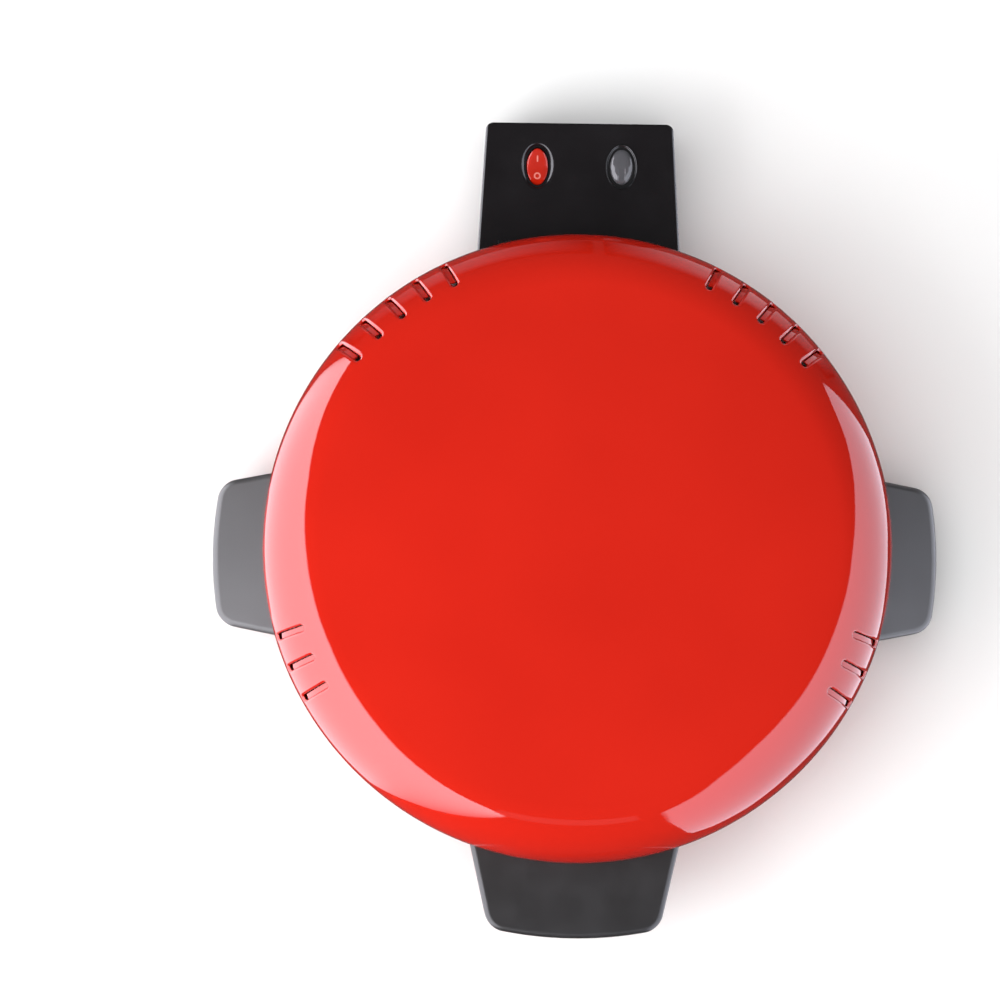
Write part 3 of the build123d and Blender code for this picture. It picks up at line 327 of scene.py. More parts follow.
# %% Finish helpers
class Finish:
    """A material under construction: its node tree, its shader and the patterns that it may use."""

    def __init__(self, name, **settings):
        self.material = bpy.data.materials.new(name)
        self.material.use_nodes = True
        self.tree = self.material.node_tree
        self.shader = self.tree.nodes["Principled BSDF"]
        self.place = self.tree.nodes.new("ShaderNodeTexCoord").outputs["Object"]
        self.last_bump = None
        for socket, value in settings.items():
            self.shader.inputs[socket.replace("_", " ")].default_value = value

    def node(self, kind, inputs=(), **settings):
        """A node with its settings and inputs; an input is a number, a colour or another node's output."""
        made = self.tree.nodes.new("ShaderNode" + kind)
        for key, value in settings.items():
            setattr(made, key, value)
        for key, value in dict(inputs).items():
            if isinstance(value, bpy.types.NodeSocket):
                self.tree.links.new(value, made.inputs[key])
            else:
                made.inputs[key].default_value = value
        return made

    def radius(self):
        """Distance from the plate's axis in metres: the length of (x, y - axis, 0)."""
        flat = self.node("Mapping", {"Vector": self.place, "Location": (0, -AXIS_Y * MM, 0), "Scale": (1, 1, 0)})
        return self.node("VectorMath", {0: flat.outputs["Vector"]}, operation="LENGTH").outputs["Value"]

    def turning(self, scale):
        """Fine rings about the axis, as a lathe or a press leaves them: a noise that depends on the radius alone."""
        run = self.node("Math", {0: self.radius(), 1: scale}, operation="MULTIPLY").outputs["Value"]
        inputs = {"W": run, "Scale": 1.0, "Detail": 4.0, "Roughness": 0.6}
        return self.node("TexNoise", inputs, noise_dimensions="1D").outputs["Fac"]

    def near_loop(self, loop, reach=0.014):
        """One over a heating loop of a radius in metres, falling to nothing at a distance."""
        gap = self.node("Math", {0: self.radius(), 1: loop}, operation="SUBTRACT")
        away = self.node("Math", {0: gap.outputs["Value"]}, operation="ABSOLUTE").outputs["Value"]
        return self.ranged(away, 0.003, reach, 1.0, 0.0)

    def noise(self, scale, detail=3.0, roughness=0.5):
        """A smooth random value, whose marks are about 1 / scale metres wide."""
        inputs = {"Vector": self.place, "Scale": scale, "Detail": detail, "Roughness": roughness}
        return self.node("TexNoise", inputs).outputs["Fac"]

    def cells(self, scale):
        """A random value for each small cell, like crystals or specks."""
        cells = self.node("TexVoronoi", {"Vector": self.place, "Scale": scale}).outputs["Color"]
        return self.node("SeparateColor", {"Color": cells}).outputs["Red"]

    def ranged(self, value, low, high, start=0.0, end=1.0):
        """A value from low..high carried to start..end and held there."""
        inputs = {"Value": value, "From Min": low, "From Max": high, "To Min": start, "To Max": end}
        return self.node("MapRange", inputs).outputs["Result"]

    def colour(self, value, *stops):
        """Colours along a value: each stop is (where, (r, g, b))."""
        ramp = self.node("ValToRGB", {"Fac": value})
        while len(ramp.color_ramp.elements) < len(stops):
            ramp.color_ramp.elements.new(0.5)
        for element, (where, rgb) in zip(ramp.color_ramp.elements, stops):
            element.position = where
            element.color = (*rgb, 1.0)
        self.set("Base Color", ramp.outputs["Color"])

    def set(self, socket, value):
        """Feeds a pattern into one of the shader's sockets."""
        self.tree.links.new(value, self.shader.inputs[socket])

    def bump(self, height, distance, strength=1.0):
        """Adds a pattern's height, in millimetres, to the surface's relief."""
        inputs = {"Height": height, "Distance": distance * MM, "Strength": strength}
        if self.last_bump:
            inputs["Normal"] = self.last_bump
        self.last_bump = self.node("Bump", inputs).outputs["Normal"]
        self.set("Normal", self.last_bump)


print("a pattern of scale 400 has marks about", round(1 / 400 / MM, 1), "mm wide")

# %% [markdown]
# # Red enamel
# The lid and the base are drawn steel, sprayed with a hot-cured enamel. It is a saturated orange red with a
# clear, hard gloss. Sprayed paint is never quite flat: it keeps a faint ripple, known as orange peel, which
# makes the edge of a reflected lamp uneven. Two noises, one about a centimetre wide and one of two millimetres,
# give that ripple, and a slow third one shifts the colour a little.

# %% Red enamel
PAINT_DEEP, PAINT_LIGHT = (0.515, 0.0118, 0.0046), (0.560, 0.0140, 0.0056)
PEEL_WIDE, PEEL_FINE = 95.0, 420.0


def red_enamel():
    """A half-matt red under a clear coat. Two noises ripple both, and a slow one mixes the two reds."""
    paint = Finish("red_enamel", Roughness=0.32, Coat_Weight=1.0, Coat_Roughness=0.03, Coat_IOR=1.52)
    paint.shader.inputs["Specular IOR Level"].default_value = 0.0
    paint.colour(paint.noise(9.0, 2.0), (0.3, PAINT_DEEP), (0.7, PAINT_LIGHT))
    paint.bump(paint.noise(PEEL_WIDE, 2.0), 0.030, 0.5)
    paint.bump(paint.noise(PEEL_FINE, 1.0), 0.006, 0.4)
    paint.set("Coat Normal", paint.last_bump)
    return paint.material


FINISHES = {"red_enamel": red_enamel()}
print("the enamel ripples every", [round(1 / scale / MM, 1) for scale in (PEEL_WIDE, PEEL_FINE)], "mm")

# %% [markdown]
# # Handles and housing
# The handles are glass-filled plastic from a spark-eroded mould: charcoal, satin, with a fine even grain. The
# tops of the side handles are crowned too faintly to model, so their relief falls outwards and they take more of
# the light from the side. The front handle lies level and takes less light, so its copy of the same plastic is
# painted darker, as painted shade. The housing is a plain black plastic from a polished mould, with a much clearer
# gloss. All plastics differ only in colour, gloss and grain, so one function makes them from a table.

# %% Moulded plastics
FALL_UNIT = 1 / MM


def moulded_plastic(name, dark, light, roughness, grain_scale, grain_height, sheen=0.0, fall=0.0, ior=1.5):
    """A cloudy colour between two greys, an even grain and a slowly changing gloss. A fall adds a relief of
    minus fall times the distance from the axis, which leans the surface outwards."""
    plastic = Finish(name, Sheen_Weight=sheen, Sheen_Roughness=0.5, IOR=ior)
    if fall:
        lean = plastic.node("Math", {0: plastic.radius(), 1: -fall}, operation="MULTIPLY").outputs["Value"]
        plastic.bump(lean, FALL_UNIT, 1.0)
    plastic.colour(plastic.noise(22.0, 3.0), (0.3, dark), (0.7, light))
    gloss = plastic.ranged(plastic.noise(60.0, 2.0), 0.3, 0.7, roughness - 0.04, roughness + 0.04)
    plastic.set("Roughness", gloss)
    plastic.bump(plastic.noise(grain_scale, 2.0), grain_height, 0.6)
    return plastic.material


# Dark and light colour, roughness, grain scale, grain height in millimetres, then any sheen, fall and IOR.
PLASTICS = {
    "handle_black": ((0.018, 0.017, 0.017), (0.023, 0.022, 0.022), 0.42, 2600.0, 0.03, 0.04, 0.28, 1.65),
    # The front handle's copy of the handle plastic: a darker colour that is painted shade, since it lies level.
    "handle_black_painted_shade": ((0.012, 0.0112, 0.0115), (0.016, 0.0150, 0.0155), 0.36, 2600.0, 0.03, 0.02),
    "housing_black": ((0.0060, 0.0050, 0.0060), (0.0080, 0.0068, 0.0080), 0.20, 900.0, 0.004),
    "gland_black": ((0.010, 0.010, 0.010), (0.014, 0.014, 0.014), 0.55, 1500.0, 0.03),
    "black_rubber": ((0.014, 0.014, 0.014), (0.022, 0.021, 0.020), 0.72, 1800.0, 0.05, 0.15),
    "cream_plastic": ((0.62, 0.56, 0.42), (0.68, 0.62, 0.48), 0.42, 1600.0, 0.02),
    "rocker_red": ((0.40, 0.010, 0.0025), (0.44, 0.013, 0.0035), 0.14, 1200.0, 0.004),
}
FINISHES.update({name: moulded_plastic(name, *look) for name, look in PLASTICS.items()})
# The darker copy, painted shade, is kept apart for the front handle alone.
FRONT_HANDLE_PAINTED_SHADE = FINISHES.pop("handle_black_painted_shade")
print("plastics:", list(PLASTICS))

# %% [markdown]
# # Metals
# Most metal is seen only when the lid is open. The reflectors are bright sheet pressed over a form, which leaves
# fine rings, and the element's two loops have tinted it straw. Brackets, clips and screws have a thin zinc coat,
# whose crystals give it a faint mottle. The elements are steel tubes that have darkened in the heat, and the
# hinge has a black coat that is rubbed where it turns.

# %% Bright and plated steel
LOOP_RADII = (0.112, 0.064)


def bright_steel():
    """Fine rings in gloss and relief. The tint follows a slow noise plus the nearness of a heating loop."""
    metal = Finish("bright_steel", Metallic=1.0)
    lines, cloud = metal.turning(1500.0), metal.noise(14.0, 3.0)
    warm = [metal.near_loop(loop) for loop in LOOP_RADII]
    heat = metal.node("Math", {0: warm[0], 1: warm[1]}, operation="MAXIMUM").outputs["Value"]
    tint = metal.ranged(metal.node("Math", {0: cloud, 1: heat}, operation="ADD").outputs["Value"], 0.25, 1.45)
    metal.colour(tint, (0.0, (0.60, 0.59, 0.57)), (0.4, (0.72, 0.71, 0.69)), (1.0, (0.68, 0.61, 0.49)))
    metal.set("Roughness", metal.ranged(lines, 0.3, 0.7, 0.20, 0.30))
    metal.bump(lines, 0.003, 0.3)
    return metal.material


def plated_steel():
    """Each crystal has its own grey, and the gloss changes over a centimetre."""
    metal = Finish("plated_steel", Metallic=1.0)
    metal.colour(metal.cells(700.0), (0.0, (0.50, 0.50, 0.49)), (1.0, (0.64, 0.64, 0.62)))
    metal.set("Roughness", metal.ranged(metal.noise(120.0), 0.3, 0.7, 0.26, 0.42))
    metal.bump(metal.noise(1500.0, 2.0), 0.01, 0.5)
    return metal.material


FINISHES.update(bright_steel=bright_steel(), plated_steel=plated_steel())
print("straw tint over loops of radius", [round(loop / MM) for loop in LOOP_RADII], "mm")

# %% Heated and coated steel
def element_sheath():
    """Brown and grey oxide in patches of a few centimetres, duller where it is browner."""
    metal = Finish("element_sheath", Metallic=0.6)
    heat = metal.noise(38.0, 4.0, 0.6)
    metal.colour(heat, (0.25, (0.035, 0.030, 0.028)), (0.5, (0.065, 0.055, 0.050)), (0.8, (0.12, 0.085, 0.062)))
    metal.set("Roughness", metal.ranged(heat, 0.3, 0.7, 0.34, 0.5))
    metal.bump(metal.noise(1300.0, 3.0), 0.02, 0.5)
    return metal.material


def dark_steel():
    """A black coat that shows grey, glossier metal where a noise of four millimetres is high."""
    metal = Finish("dark_steel", Metallic=0.7)
    rubbed = metal.noise(260.0, 4.0, 0.6)
    metal.colour(rubbed, (0.45, (0.018, 0.018, 0.019)), (0.85, (0.10, 0.10, 0.10)))
    metal.set("Roughness", metal.ranged(rubbed, 0.3, 0.8, 0.5, 0.34))
    metal.bump(metal.noise(1600.0, 3.0), 0.02, 0.5)
    return metal.material


FINISHES["element_sheath"] = element_sheath()
DARK_HINGE = dark_steel()
print("finishes so far:", list(FINISHES), "and", DARK_HINGE.name)

# %% [markdown]
# # Non-stick coating, ceramic and glass
# The baking plate has a sprayed non-stick coat: nearly black, half matt and full of fine pale specks, over the
# rings that the lathe left. The lamp's lens is a smoky plastic that passes little light, and its neon tube is
# thin glass. The bushings are unglazed ceramic, which is built like the plastics.

# %% Coating, ceramic and glass
def non_stick():
    """Only the palest few cells become specks. Fine grain and turned rings make up the relief."""
    coat = Finish("non_stick", Sheen_Weight=0.05)
    specks = coat.ranged(coat.cells(2300.0), 0.93, 0.97)
    coat.colour(specks, (0.0, (0.016, 0.015, 0.015)), (1.0, (0.085, 0.083, 0.080)))
    coat.set("Roughness", coat.ranged(coat.noise(45.0), 0.3, 0.7, 0.36, 0.48))
    coat.bump(coat.noise(2100.0, 3.0), 0.02, 0.7)
    coat.bump(coat.turning(700.0), 0.02, 0.35)
    return coat.material


def clear_plastic(name, tint, roughness, transmission):
    """Plastic or glass whose tint and relief change a little, as melt flows in a mould."""
    clear = Finish(name, Transmission_Weight=transmission, IOR=1.49)
    clear.colour(clear.noise(200.0, 2.0), (0.3, tint), (0.7, tuple(0.96 * v for v in tint)))
    clear.set("Roughness", clear.ranged(clear.noise(300.0), 0.3, 0.7, roughness, roughness + 0.05))
    clear.bump(clear.noise(500.0, 2.0), 0.008, 0.4)
    return clear.material


FINISHES["non_stick"] = non_stick()
FINISHES["clear_lens"] = clear_plastic("clear_lens", (0.10, 0.10, 0.112), 0.08, 0.15)
FINISHES["neon_glass"] = clear_plastic("neon_glass", (0.95, 0.82, 0.72), 0.05, 0.9)
FINISHES["white_ceramic"] = moulded_plastic(
    "white_ceramic", (0.70, 0.69, 0.65), (0.78, 0.77, 0.73), 0.35, 1400.0, 0.01
)
print(len(FINISHES), "finishes, one for each material slot")

# %% [markdown]
# # Every solid gets its finish
# The record says which nodes each material slot covers. A solid that keeps its shape takes that slot's finish,
# apart from the hinge, which has a finish of its own, and the front handle, which takes a darker copy of the
# handle plastic as painted shade.

# %% Dress the solids
SLOT_OF = {row["node"]: row["material_slot"] for row in frame["record"]["subparts"]}
# The front handle takes the darker copy of the handle plastic, painted shade.
SPECIAL = {"hinge": DARK_HINGE, "front_handle": FRONT_HANDLE_PAINTED_SHADE}
for name, solid in nodes.items():
    solid.data.materials.clear()
    finish = next((SPECIAL[part] for part in SPECIAL if part in name), FINISHES[SLOT_OF[name]])
    solid.data.materials.append(finish)
print({slot: sum(s == slot for s in SLOT_OF.values()) for slot in FINISHES})


def dress(piece, slot, body, *replaced):
    """Gives a new piece its finish and its body, and hides the solids that it stands for."""
    piece.data.materials.clear()
    piece.data.materials.append(FINISHES[slot])
    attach(piece, body)
    if replaced:
        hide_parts(*replaced)
    return piece


# %% [markdown]
# # The lid
# The lid is drawn from one steel blank: a nearly flat crown, a shoulder of large radius, a short skirt and a
# hem turned inwards. Its face is a profile carried round the axis. Sixteen cooling slots are pressed through the
# shoulder, and the press rolls each slot's rim inwards, which catches a bright line of light. A boolean cut
# would leave ragged shading on such glossy paint. Instead the grid leaves out a small window round each slot and
# fills it with rings: the innermost is the slot's outline, the outermost the window's edge.

# %% Helpers for a profile
def arc(centre, radius, start, end, count):
    """Points on an arc, by angle from the upright: centre + radius * (sin a, cos a)."""
    a = np.linspace(start, end, count)
    return np.stack([centre[0] + radius * np.sin(a), centre[1] + radius * np.cos(a)], -1)


def along(profile, s):
    """Places and outward normals at distances s along a profile given by many points."""
    step = np.r_[0.0, np.cumsum(np.hypot(*np.diff(profile, axis=0).T))]
    here = np.stack([np.interp(s, step, profile[:, k]) for k in (0, 1)], -1)
    slope = np.gradient(profile, step, axis=0)
    tangent = np.stack([np.interp(s, step, slope[:, k]) for k in (0, 1)], -1)
    tangent /= np.linalg.norm(tangent, axis=-1, keepdims=True)
    return here, np.stack([-tangent[..., 1], tangent[..., 0]], -1)


print("a quarter arc of radius 1 starts at", arc((0.0, 0.0), 1.0, 0.0, pi / 2, 3)[0])

# %% The lid's profile
LID_R, RIM_Z, SKIRT_H, SHOULDER_R, CROWN_R = 165.0, 54.3, 14.0, 34.0, 1300.0
LID_SHEET, HEM_WIDTH, HEM_BEND, HEM_FLAT = 1.2, 3.5, 1.6, 1.85
SHOULDER_CENTRE = (LID_R - SHOULDER_R, RIM_Z + SKIRT_H)
CROWN_CENTRE_Z = SHOULDER_CENTRE[1] - sqrt((CROWN_R - SHOULDER_R) ** 2 - SHOULDER_CENTRE[0] ** 2)
CROWN_EDGE = asin(SHOULDER_CENTRE[0] / (CROWN_R - SHOULDER_R))

hem_centre = (LID_R - HEM_BEND, RIM_Z + HEM_BEND)
LID_PROFILE = np.concatenate([
    arc((0.0, CROWN_CENTRE_Z), CROWN_R, 0.0, CROWN_EDGE, 400)[:-1],
    arc(SHOULDER_CENTRE, SHOULDER_R, CROWN_EDGE, pi / 2, 400)[:-1],
    np.linspace((LID_R, SHOULDER_CENTRE[1]), (LID_R, RIM_Z + HEM_BEND), 60)[:-1],
    arc(hem_centre, HEM_BEND, pi / 2, pi, 30)[:-1],
    np.linspace((LID_R - HEM_BEND, RIM_Z), (LID_R - HEM_WIDTH, RIM_Z), 10),
])
CROWN_RUN = CROWN_R * CROWN_EDGE
SKIRT_RUN = SKIRT_H - HEM_BEND
print("crown", round(CROWN_RUN, 1), "mm and shoulder", round(SHOULDER_R * (pi / 2 - CROWN_EDGE), 1), "mm long")

# %% [markdown]
# The grid's columns are close together at the slots and at the two notches for the hinge's knuckles, and wide
# elsewhere. Its rows follow the profile: crown, the shoulder down to the slots, the slots, skirt and hem.

# %% The grid's columns and rows
VENT_STEP, VENT_COLUMNS, WINDOW_ROWS = 6.1, 6, 22
REAR_VENTS = 26.2 + VENT_STEP * np.arange(5)
FRONT_VENTS = 17.5 + VENT_STEP * np.arange(3)
VENT_ANGLES = np.r_[90 - REAR_VENTS, 90 + REAR_VENTS, -FRONT_VENTS, 180 + FRONT_VENTS]
KNUCKLES = np.degrees(np.arcsin(np.array([23.5, 38.5]) / LID_R))


def on_shoulder(degrees_from_top):
    """Distance along the profile to a place on the shoulder, by its angle from the upright."""
    return CROWN_RUN + SHOULDER_R * (radians(degrees_from_top) - CROWN_EDGE)


def runs(stops, counts):
    """Even steps from each stop to the next, so many for each run, without the last stop."""
    return np.concatenate([np.linspace(a, b, n, endpoint=False) for a, b, n in zip(stops, stops[1:], counts)])


half = VENT_STEP / 2
right_stops = [
    -90.0, -FRONT_VENTS[-1] - half, -FRONT_VENTS[0] + half, 90 - REAR_VENTS[-1] - half, 90 - REAR_VENTS[0] + half,
    90 - KNUCKLES[1], 90 - KNUCKLES[0], 90.0,
]
right_half = runs(right_stops, (56, 3 * VENT_COLUMNS, 50, 5 * VENT_COLUMNS, 9, 5, 8))
COLUMNS = np.radians(np.r_[right_half, 90.0, 180.0 - right_half[:0:-1]])
WINDOW = (on_shoulder(22.0), on_shoulder(86.0))
SKIRT_TOP = on_shoulder(90.0)
SKIRT_END = SKIRT_TOP + SKIRT_RUN
BEND_END = SKIRT_END + HEM_BEND * pi / 2
HEM_END = BEND_END + HEM_FLAT
ROWS = np.r_[
    runs((0.0, CROWN_RUN, *WINDOW, SKIRT_TOP, SKIRT_END, BEND_END), (22, 7, WINDOW_ROWS, 3, 4, 6)), BEND_END, HEM_END
]
print(len(COLUMNS), "columns,", len(ROWS), "rows")

# %% [markdown]
# The window's outline is a rectangle in the grid, and the slot is a straight run with two half circles. A point
# on the window's long side goes straight across to the slot's side, and the corners go to the middle of each
# quarter circle, so the rings stay tidy all the way round.

# %% Rings round a slot
VENT_HALF_WIDTH, VENT_HALF_LENGTH = 1.6, 12.6
VENT_LIP, VENT_LIP_DEPTH = 1.6, 1.15
LIP_STEPS = np.array([0.0, 0.12, 0.3, 0.55, 0.85, 1.2, 1.6, 2.1, 2.7])
STRAIGHT_SHARE = 0.62
SLOT_MIDDLE = (on_shoulder(32.0) + on_shoulder(75.0)) / 2
EASE = np.array([0.22, 0.46, 0.72, 1.0])[:, None]


def window_outline(columns, rows):
    """The window's edge points as (across, along) from -1 to 1, once round."""
    c = np.linspace(-1, 1, columns, endpoint=False)
    r = np.linspace(-1, 1, rows, endpoint=False)
    across = np.r_[c, np.ones(rows), -c, -np.ones(rows)]
    length = np.r_[-np.ones(columns), r, np.ones(columns), -r]
    return across, length


def slot_rings(across, length, half_wide, half_long):
    """Rings at each lip step out from the slot: a straight part and two half circles, which grow by the step."""
    on_side = np.abs(across) == 1
    straight = np.clip(length / STRAIGHT_SHARE, -1, 1) * (half_long - half_wide)
    beyond = np.clip((np.abs(length) - STRAIGHT_SHARE) / (1 - STRAIGHT_SHARE), 0, 1)
    turn = np.where(on_side, pi / 4 * beyond, pi / 2 - pi / 4 * np.abs(across))
    reach = half_wide + LIP_STEPS[:, None]
    return np.sign(across) * reach * np.cos(turn), straight + np.sign(length) * reach * np.sin(turn)


def vent_patches(angles):
    """All windows at once: slot rings with the rim rolled inwards, then rings that ease out to the window."""
    across, length = window_outline(VENT_COLUMNS, WINDOW_ROWS)
    middle, reach = (WINDOW[0] + WINDOW[1]) / 2, (WINDOW[1] - WINDOW[0]) / 2
    q, p = slot_rings(across, length, VENT_HALF_WIDTH, VENT_HALF_LENGTH)
    p = p + (SLOT_MIDDLE - middle)
    edge_p = length * reach
    edge_r = along(LID_PROFILE, middle + edge_p)[0][:, 0]
    edge_q = across * radians(VENT_STEP / 2) * edge_r
    q = np.concatenate([q, q[-1] + EASE * (edge_q - q[-1])])
    p = np.concatenate([p, p[-1] + EASE * (edge_p - p[-1])])
    depth = np.r_[VENT_LIP_DEPTH * np.clip(1 - LIP_STEPS / VENT_LIP, 0, 1) ** 2, np.zeros(len(EASE))]
    here, normal = along(LID_PROFILE, middle + p)
    spot = here - depth[:, None, None] * normal
    return round_axis(spot[..., 0], np.radians(angles)[:, None, None] + q / here[..., 0], spot[..., 1])


print("a slot's rim has", len(LIP_STEPS), "rings, and", len(EASE), "more lead out to the window")

# %% [markdown]
# Two notches in the hem leave room for the hinge's knuckles: there the grid simply has no faces. One Solidify
# modifier gives the whole surface its thickness inwards, so the slots and notches get their walls too.

# %% Put the lid together
HALF_COLUMN, NOTCH_ROWS = 0.4, 5


def lid_mesh():
    """The turned grid without its windows and hinge notches, with all slot patches, as one point and face list."""
    radius, height = along(LID_PROFILE, ROWS)[0].T[:, :, None]
    body = round_axis(radius, COLUMNS[None, :], height)
    faces = grid_faces(len(ROWS), len(COLUMNS), around=True)
    row, column = np.divmod(faces[:, 0], len(COLUMNS))
    middle_a = np.degrees(COLUMNS[column]) + HALF_COLUMN
    vent_gap = np.min(np.abs((middle_a[:, None] - VENT_ANGLES + 180) % 360 - 180), 1)
    first = np.searchsorted(ROWS, WINDOW[0] - 1e-6)
    in_window = (row >= first) & (row < first + WINDOW_ROWS) & (vent_gap < VENT_STEP / 2)
    from_back = np.abs(middle_a - 90)
    in_notch = (row >= len(ROWS) - NOTCH_ROWS) & (from_back > KNUCKLES[0]) & (from_back < KNUCKLES[1])
    faces = faces[~(in_window | in_notch)][:, ::-1]
    patch = vent_patches(VENT_ANGLES)
    vents, rings, points = patch.shape[:3]
    extra = repeated(grid_faces(rings, points, around=True), rings * points, vents)
    every = np.concatenate([body.reshape(-1, 3), patch.reshape(-1, 3)])
    return every, np.concatenate([faces, extra + len(ROWS) * len(COLUMNS)])


lid = mesh_piece("lid", *lid_mesh(), crease=50.0, merge=0.02, closed=False)
sheet = lid.modifiers.new("sheet", "SOLIDIFY")
sheet.thickness = LID_SHEET * MM
sheet.offset = -1.0
sheet.use_even_offset = True
dress(lid, "red_enamel", "lid", "lid_shell")

# %% [markdown]
# Each slot has a flap: a strip of the sheet that stays joined along the slot's front side and is pressed in, so
# that air leaves by a thin gap at the rear side and by a short opening at one end. The front flaps lie shallow
# and mirror the same lamp as the shoulder. The rear flaps lie deeper, in shadow. Each flap is a section of five
# corners carried along the slot.

# %% Flaps in the slots
FRONT_FLAP = np.array([(1.75, 1.15), (0.4, 1.3), (-1.0, 1.65), (-1.0, 2.5), (1.75, 2.1)])
REAR_FLAP = np.array([(1.75, 1.3), (0.4, 1.75), (-1.1, 2.3), (-1.1, 2.9), (1.75, 2.3)])
FRONT_ENDS, REAR_ENDS = (-12.4, 7.9), (-8.6, 12.4)


def flaps(angles, section, ends):
    """Section (across, depth) at distances along the slot, set below the lid's face, with both ends closed."""
    p = np.r_[ends[0], np.linspace(*ends, 26), ends[1]]
    here, normal = along(LID_PROFILE, SLOT_MIDDLE + p)
    share = np.r_[0.0, np.ones(26), 0.0][:, None, None]
    centre = section.mean(0)
    across, depth = (centre + share * (section - centre)).transpose(2, 0, 1)
    spot = here[:, None, :] - depth[..., None] * normal[:, None, :]
    side = np.where(angles > 90, 1.0, -1.0)[:, None, None]
    points = round_axis(spot[..., 0], np.radians(angles)[:, None, None] + side * across / spot[..., 0], spot[..., 1])
    one = grid_faces(len(p), len(section), around=True)
    faces = [one if s < 0 else one[:, ::-1] for s in side.ravel()]
    count = len(p) * len(section)
    return points.reshape(-1, 3), np.concatenate([f + n * count for n, f in enumerate(faces)])


front, front_faces = flaps(VENT_ANGLES[-6:], FRONT_FLAP, FRONT_ENDS)
rear, rear_faces = flaps(VENT_ANGLES[:-6], REAR_FLAP, REAR_ENDS)
every_flap = np.concatenate([front, rear]), np.concatenate([front_faces, rear_faces + len(front)])
dress(mesh_piece("vent_flaps", *every_flap, crease=30.0), "red_enamel", "lid")

# %% [markdown]
# # Ovals for the controls
# The rocker, its dish and the lamp are ovals on the housing's top. Each is built from rings: an oval outline is
# scaled about its centre, and a height is given to every point. So one helper for outlines serves them all.

# %% Oval outlines
CONTROL_X, CONTROL_Y, HOUSING_TOP = 22.5, 205.5, 42.5
ROUND = np.linspace(0.0, 2 * pi, 128, endpoint=False)


def oval(half, inset=0.0, point=0.0):
    """Points (a cos t, b sin t) round an oval, its sides drawn in by point * sin^4 t towards the two ends."""
    across = (half[0] - inset) * np.cos(ROUND) * (1 - point * np.sin(ROUND) ** 4)
    return np.stack([across, (half[1] - inset) * np.sin(ROUND)], -1)


def ring_stack(outlines, heights):
    """Rings of points from outlines (rows, points, 2) and heights that fit them, as (rows, points, 3)."""
    outlines = np.asarray(outlines, float)
    heights = np.broadcast_to(heights, outlines.shape[:2])
    return np.concatenate([outlines, heights[..., None]], -1)


def ring_piece(name, rings, place, around_rows=False, crease=35.0):
    """A piece from stacked rings set at a place. The first and last ring close it, or the stack joins its start."""
    rows, columns = rings.shape[:2]
    if around_rows:
        rings = np.concatenate([rings, rings[:1]])
        rows += 1
    return mesh_piece(name, (rings + place).reshape(-1, 3), grid_faces(rows, columns, around=True), crease=crease)


print("an oval has", len(ROUND), "points")

# %% [markdown]
# # The rocker
# The rocker is a glossy red moulding that tips about a pin. Its face has two flat halves that meet in a shallow
# valley. At OFF the front half lies level, and a small chin slopes down before it. The edge is rounded all round,
# and the face falls away a little beside the chin, so the chin reads as a narrow facet. Cuts from an oval block
# would leave hard edges to bevel, while a height for each point gives valley, chin and rounding in one go.

# %% Rocker
ROCKER_HALF, ROCKER_EDGE, ROCKER_TILT = (5.75, 9.9), 0.8, radians(9.0)
ROCKER_POINT, ROCKER_FOOT = 0.14, -1.1
CHIN_FROM, CHIN_SLOPE = 6.5, radians(25.0)
FACE_LIFT, VALLEY, CHEEK_FROM = 2.0, 0.6, 2.0
PIVOT = np.array([-CONTROL_X, CONTROL_Y, 39.5])


def rocker_face(x, y):
    """Height over the pin: 2 mm plus |y| tan 9 degrees, smoothed at the valley, less the chin and its cheeks."""
    face = FACE_LIFT + tan(ROCKER_TILT) * (np.hypot(y, VALLEY) - VALLEY / 2)
    ahead = np.clip(-CHIN_FROM - y, 0, None)
    cheeks = np.clip(np.abs(x) - CHEEK_FROM, 0, None) ** 2
    return face - ahead * (tan(CHIN_SLOPE) + tan(ROCKER_TILT)) - 0.030 * cheeks - 0.06 * ahead * cheeks


def tilted(points, angle=ROCKER_TILT):
    """Points turned about the rocker's pin: y cos a - z sin a, y sin a + z cos a."""
    x, y, z = np.moveaxis(points, -1, 0)
    return np.stack([x, y * cos(angle) - z * sin(angle), y * sin(angle) + z * cos(angle)], -1)


def rocker_rings():
    """Rings from the face's middle to its edge, a rounded edge, the side, and back to the middle below."""
    rim = oval(ROCKER_HALF, point=ROCKER_POINT)
    inner = oval(ROCKER_HALF, inset=ROCKER_EDGE, point=ROCKER_POINT)
    face = np.linspace(0, 1, 24)[:, None, None] * inner
    turn = np.linspace(0, pi / 2, 7)[1:, None, None]
    edge = inner + np.sin(turn) * (rim - inner)
    inner_z = rocker_face(inner[:, 0], inner[:, 1])
    edge_z = inner_z - ROCKER_EDGE * (1 - np.cos(turn[..., 0]))
    side_z = np.full((2, len(ROUND)), ROCKER_FOOT)
    outlines = np.concatenate([face, edge, rim[None], 0 * rim[None]])
    return ring_stack(outlines, np.concatenate([rocker_face(face[..., 0], face[..., 1]), edge_z, side_z]))


dress(ring_piece("rocker", tilted(rocker_rings()), PIVOT), "rocker_red", "rocker", "switch_rocker")

# %% [markdown]
# The two marks, a bar for on and a ring for off, are printed in pale ink. Each is a thin welt laid on the face:
# an ellipse carried along a line or round a circle.

# %% Ink
def printed_ink():
    """A pale red with a faint mottle, as thin ink has over a red moulding."""
    ink = Finish("printed_ink")
    ink.colour(ink.noise(900.0), (0.3, (0.58, 0.13, 0.10)), (0.7, (0.64, 0.17, 0.13)))
    ink.set("Roughness", ink.ranged(ink.noise(400.0), 0.3, 0.7, 0.35, 0.5))
    ink.bump(ink.noise(2500.0, 2.0), 0.004, 0.4)
    return ink.material


INK = printed_ink()
print("ink:", INK.name)

